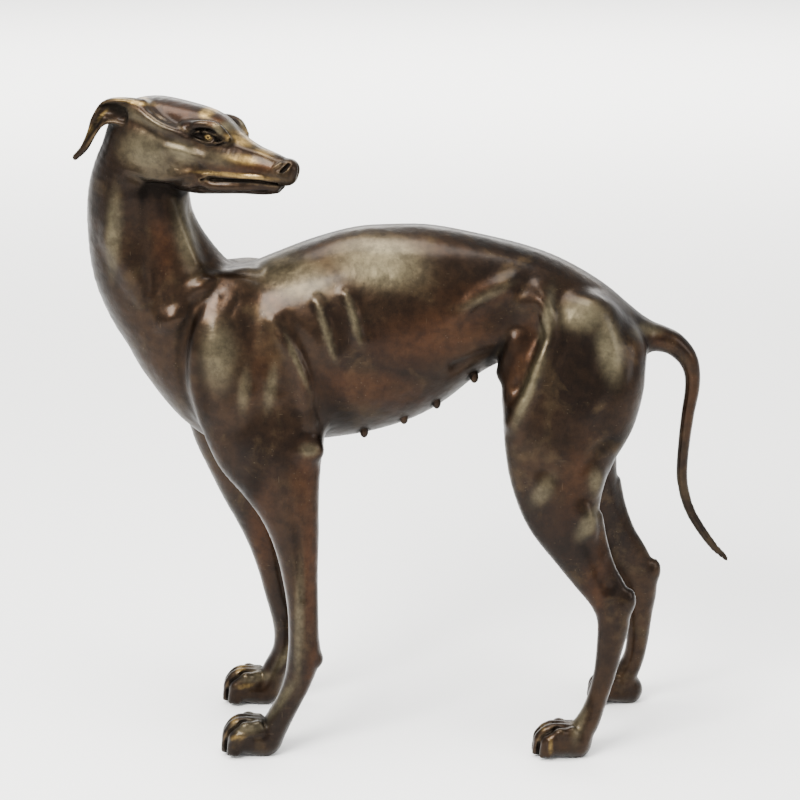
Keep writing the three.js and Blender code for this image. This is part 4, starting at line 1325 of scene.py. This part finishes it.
# Painted highlight: pale olive laid where the lamps catch the body, broken up by a cloud.
pale = (amount("pale") * (0.5 + 0.85 * cloud(24.0, 6.0, 0.62, 0.6))).clamped()
colour = (pale * 0.8).mix(colour, OLIVE_PAINTED_HIGHLIGHT)
mottle = small.ramp(0.30, 0.68).mix(DIMMED, LIFTED)
colour = wire.node(
    "Mix", {"data_type": "RGBA", "blend_type": "MULTIPLY"}, {0: 1.0, 6: colour, 7: mottle}, output=2)
rubbed = sharp.ramp(0.12, 0.5) * small.ramp(0.35, 0.62)
colour = (rubbed * 0.5).mix(colour, RUBBED_EDGE)
gold = (amount("gold") * (0.1 + 1.8 * small.ramp(0.25, 0.75))).clamped()
colour = (gold * 0.85).mix(colour, BARE_METAL)
# Dirt and painted shade: darker in the hollows, on faces that point down and in the dark ovals.
dirt_and_painted_shade = (hollow.ramp(0.06, 0.42) + 0.5 * painted_underside_shade + amount("painted_shade")).clamped()
colour = (dirt_and_painted_shade * 0.9).mix(colour, DIRT_AND_SHADE_COLOUR)

# %% [markdown]
# ## Pits, flecks and scratches
# A cast skin has tiny pits where gas lay against the mould. Years of dusting leave pale flecks and
# hair-thin scratches, one set along the body and one from top to bottom. Pits and flecks are small
# round spots. The same spots, drawn out in one direction, make the scratches.

# %% Pits, flecks and scratches
FLECK, SCRATCH = (0.110, 0.085, 0.055), (0.100, 0.072, 0.042)


def specks(scale, size, share, place=place_on_statue):
    """Small round spots in a share of the cells of a honeycomb."""
    distance, random = (wire.node("TexVoronoi", {}, {"Vector": place, "Scale": scale}, output=n)
                        for n in (0, 1))
    return (1.0 - distance.ramp(size * 0.4, size)) * random.ramp(1 - share, 1 - share + 0.02)


pits = specks(340.0, 0.26, 0.12)
flecks = specks(210.0, 0.20, 0.35) * middling.ramp(0.45, 0.6)
slanted = wire.node("Mapping", {}, {
    "Vector": place_on_statue, "Rotation": (0.3, 0.5, 0.2), "Scale": (0.045, 1.0, 1.0)})
crossing = wire.node("Mapping", {}, {
    "Vector": place_on_statue, "Rotation": (1.1, -0.7, 0.4), "Scale": (1.0, 1.0, 0.05)})
scratches = (specks(330.0, 0.13, 0.30, slanted) + specks(300.0, 0.12, 0.22, crossing)).clamped()
colour = (flecks * 0.25).mix(colour, FLECK)
colour = (scratches * 0.30).mix(colour, SCRATCH)
colour = (pits * 0.6).mix(colour, DIRT_AND_SHADE_COLOUR)

# %% [markdown]
# ## Gloss and touch
# Waxed bronze has a soft gloss, duller on the painted olive highlights and where dirt and painted
# shade lie. The bump is made of three sizes: slow waves left by the thumb, the tooth of the file,
# and the pits.

# %% Gloss and bump
roughness = (0.28 + 0.13 * middling.ramp(0.3, 0.7) + 0.06 * pale
             + 0.25 * dirt_and_painted_shade - 0.05 * rubbed + 0.06 * grain)
waves = cloud(30.0, 2.0, 0.5)
height = waves * 1.6 + middling * 0.5 + small * 0.26 + grain * 0.05 - pits * 0.10 - scratches * 0.03
bump = wire.node("Bump", inputs={"Height": height, "Strength": 0.55, "Distance": 0.0026})
surface = wire.node("BsdfPrincipled", inputs={
    "Base Color": colour, "Metallic": 0.92, "Roughness": roughness, "IOR": 1.45, "Normal": bump,
    "Coat Weight": 0.17 - 0.16 * dirt_and_painted_shade, "Coat Roughness": 0.20, "Coat IOR": 1.4})
wire.node("OutputMaterial", inputs={"Surface": surface})
body.data.materials.append(bronze)

# %% [markdown]
# ## The room
# A pale floor, wide enough to fill the picture, and big soft lamps, as in a studio. The key lamp
# stands high on the left, a weak one fills the right, one hangs above, and one lights the floor
# far behind, so that it looks white. The air around gives the soft reflections.

# %% Floor
FLOOR_REACH = 30.0


def stage_floor():
    mesh = bpy.data.meshes.new("pale_floor")
    corners = [(x * FLOOR_REACH, y * FLOOR_REACH, 0) for x, y in ((-1, -1), (1, -1), (1, 1), (-1, 1))]
    mesh.from_pydata(corners, [], [(0, 1, 2, 3)])
    floor = bpy.data.objects.new("pale_floor", mesh)
    bpy.context.scene.collection.objects.link(floor)
    material = bpy.data.materials.new("pale_paint")
    material.use_nodes = True
    principled = material.node_tree.nodes["Principled BSDF"]
    principled.inputs["Base Color"].default_value = (0.90, 0.90, 0.90, 1)
    principled.inputs["Roughness"].default_value = 0.8
    mesh.materials.append(material)


stage_floor()

# %% Lamps and air
LAMP_COLOUR = (1.0, 0.985, 0.94)
MID_BODY = (0, 0, 0.45)


def soft_light(name, place, target, size, power):
    """A rectangular lamp that faces its target."""
    light = bpy.data.lights.new(name, "AREA")
    light.shape = "RECTANGLE"
    light.size, light.size_y = size
    light.energy = power
    light.color = LAMP_COLOUR
    lamp = bpy.data.objects.new(name, light)
    lamp.location = place
    lamp.rotation_euler = (Vector(target) - Vector(place)).to_track_quat("-Z", "Y").to_euler()
    bpy.context.scene.collection.objects.link(lamp)


soft_light("key_box", (-1.5, -2.0, 2.3), MID_BODY, (1.4, 1.0), 230)
soft_light("fill_box", (2.6, -1.6, 1.4), MID_BODY, (1.0, 1.6), 40)
soft_light("top_box", (-0.2, -0.3, 2.9), (0, 0, 0.5), (2.4, 1.0), 140)
soft_light("backdrop_box", (0, 6.5, 4.0), (0, 7.5, 0), (9.0, 5.0), 1500)
world = bpy.data.worlds.new("studio_air")
world.use_nodes = True
air = world.node_tree.nodes["Background"]
air.inputs["Color"].default_value = (1, 1, 1, 1)
air.inputs["Strength"].default_value = 1.35
bpy.context.scene.world = world

# %% [markdown]
# ## The camera
# A long lens looks a little down at her, square to her side, as the statue was photographed. The
# distance and the lens go together: a nearer camera would swell the head and the tail.

# %% Camera
LENS, SENSOR_WIDTH = 100.125, 36.0
CAMERA_BACK, CAMERA_HEIGHT, CAMERA_DROP = 2.6, 1.15, 15.5
camera_data = bpy.data.cameras.new("camera")
camera_data.lens = LENS
camera_data.sensor_width = SENSOR_WIDTH
camera_data.clip_end = 100
camera = bpy.data.objects.new("camera", camera_data)
camera.location = Vector((0, -CAMERA_BACK, CAMERA_HEIGHT)) + Vector(STANDING_PLACE)
camera.rotation_euler = (math.radians(90 - CAMERA_DROP), 0, 0)
bpy.context.scene.collection.objects.link(camera)
bpy.context.scene.camera = camera

# %% Update the scene
bpy.context.view_layer.update()
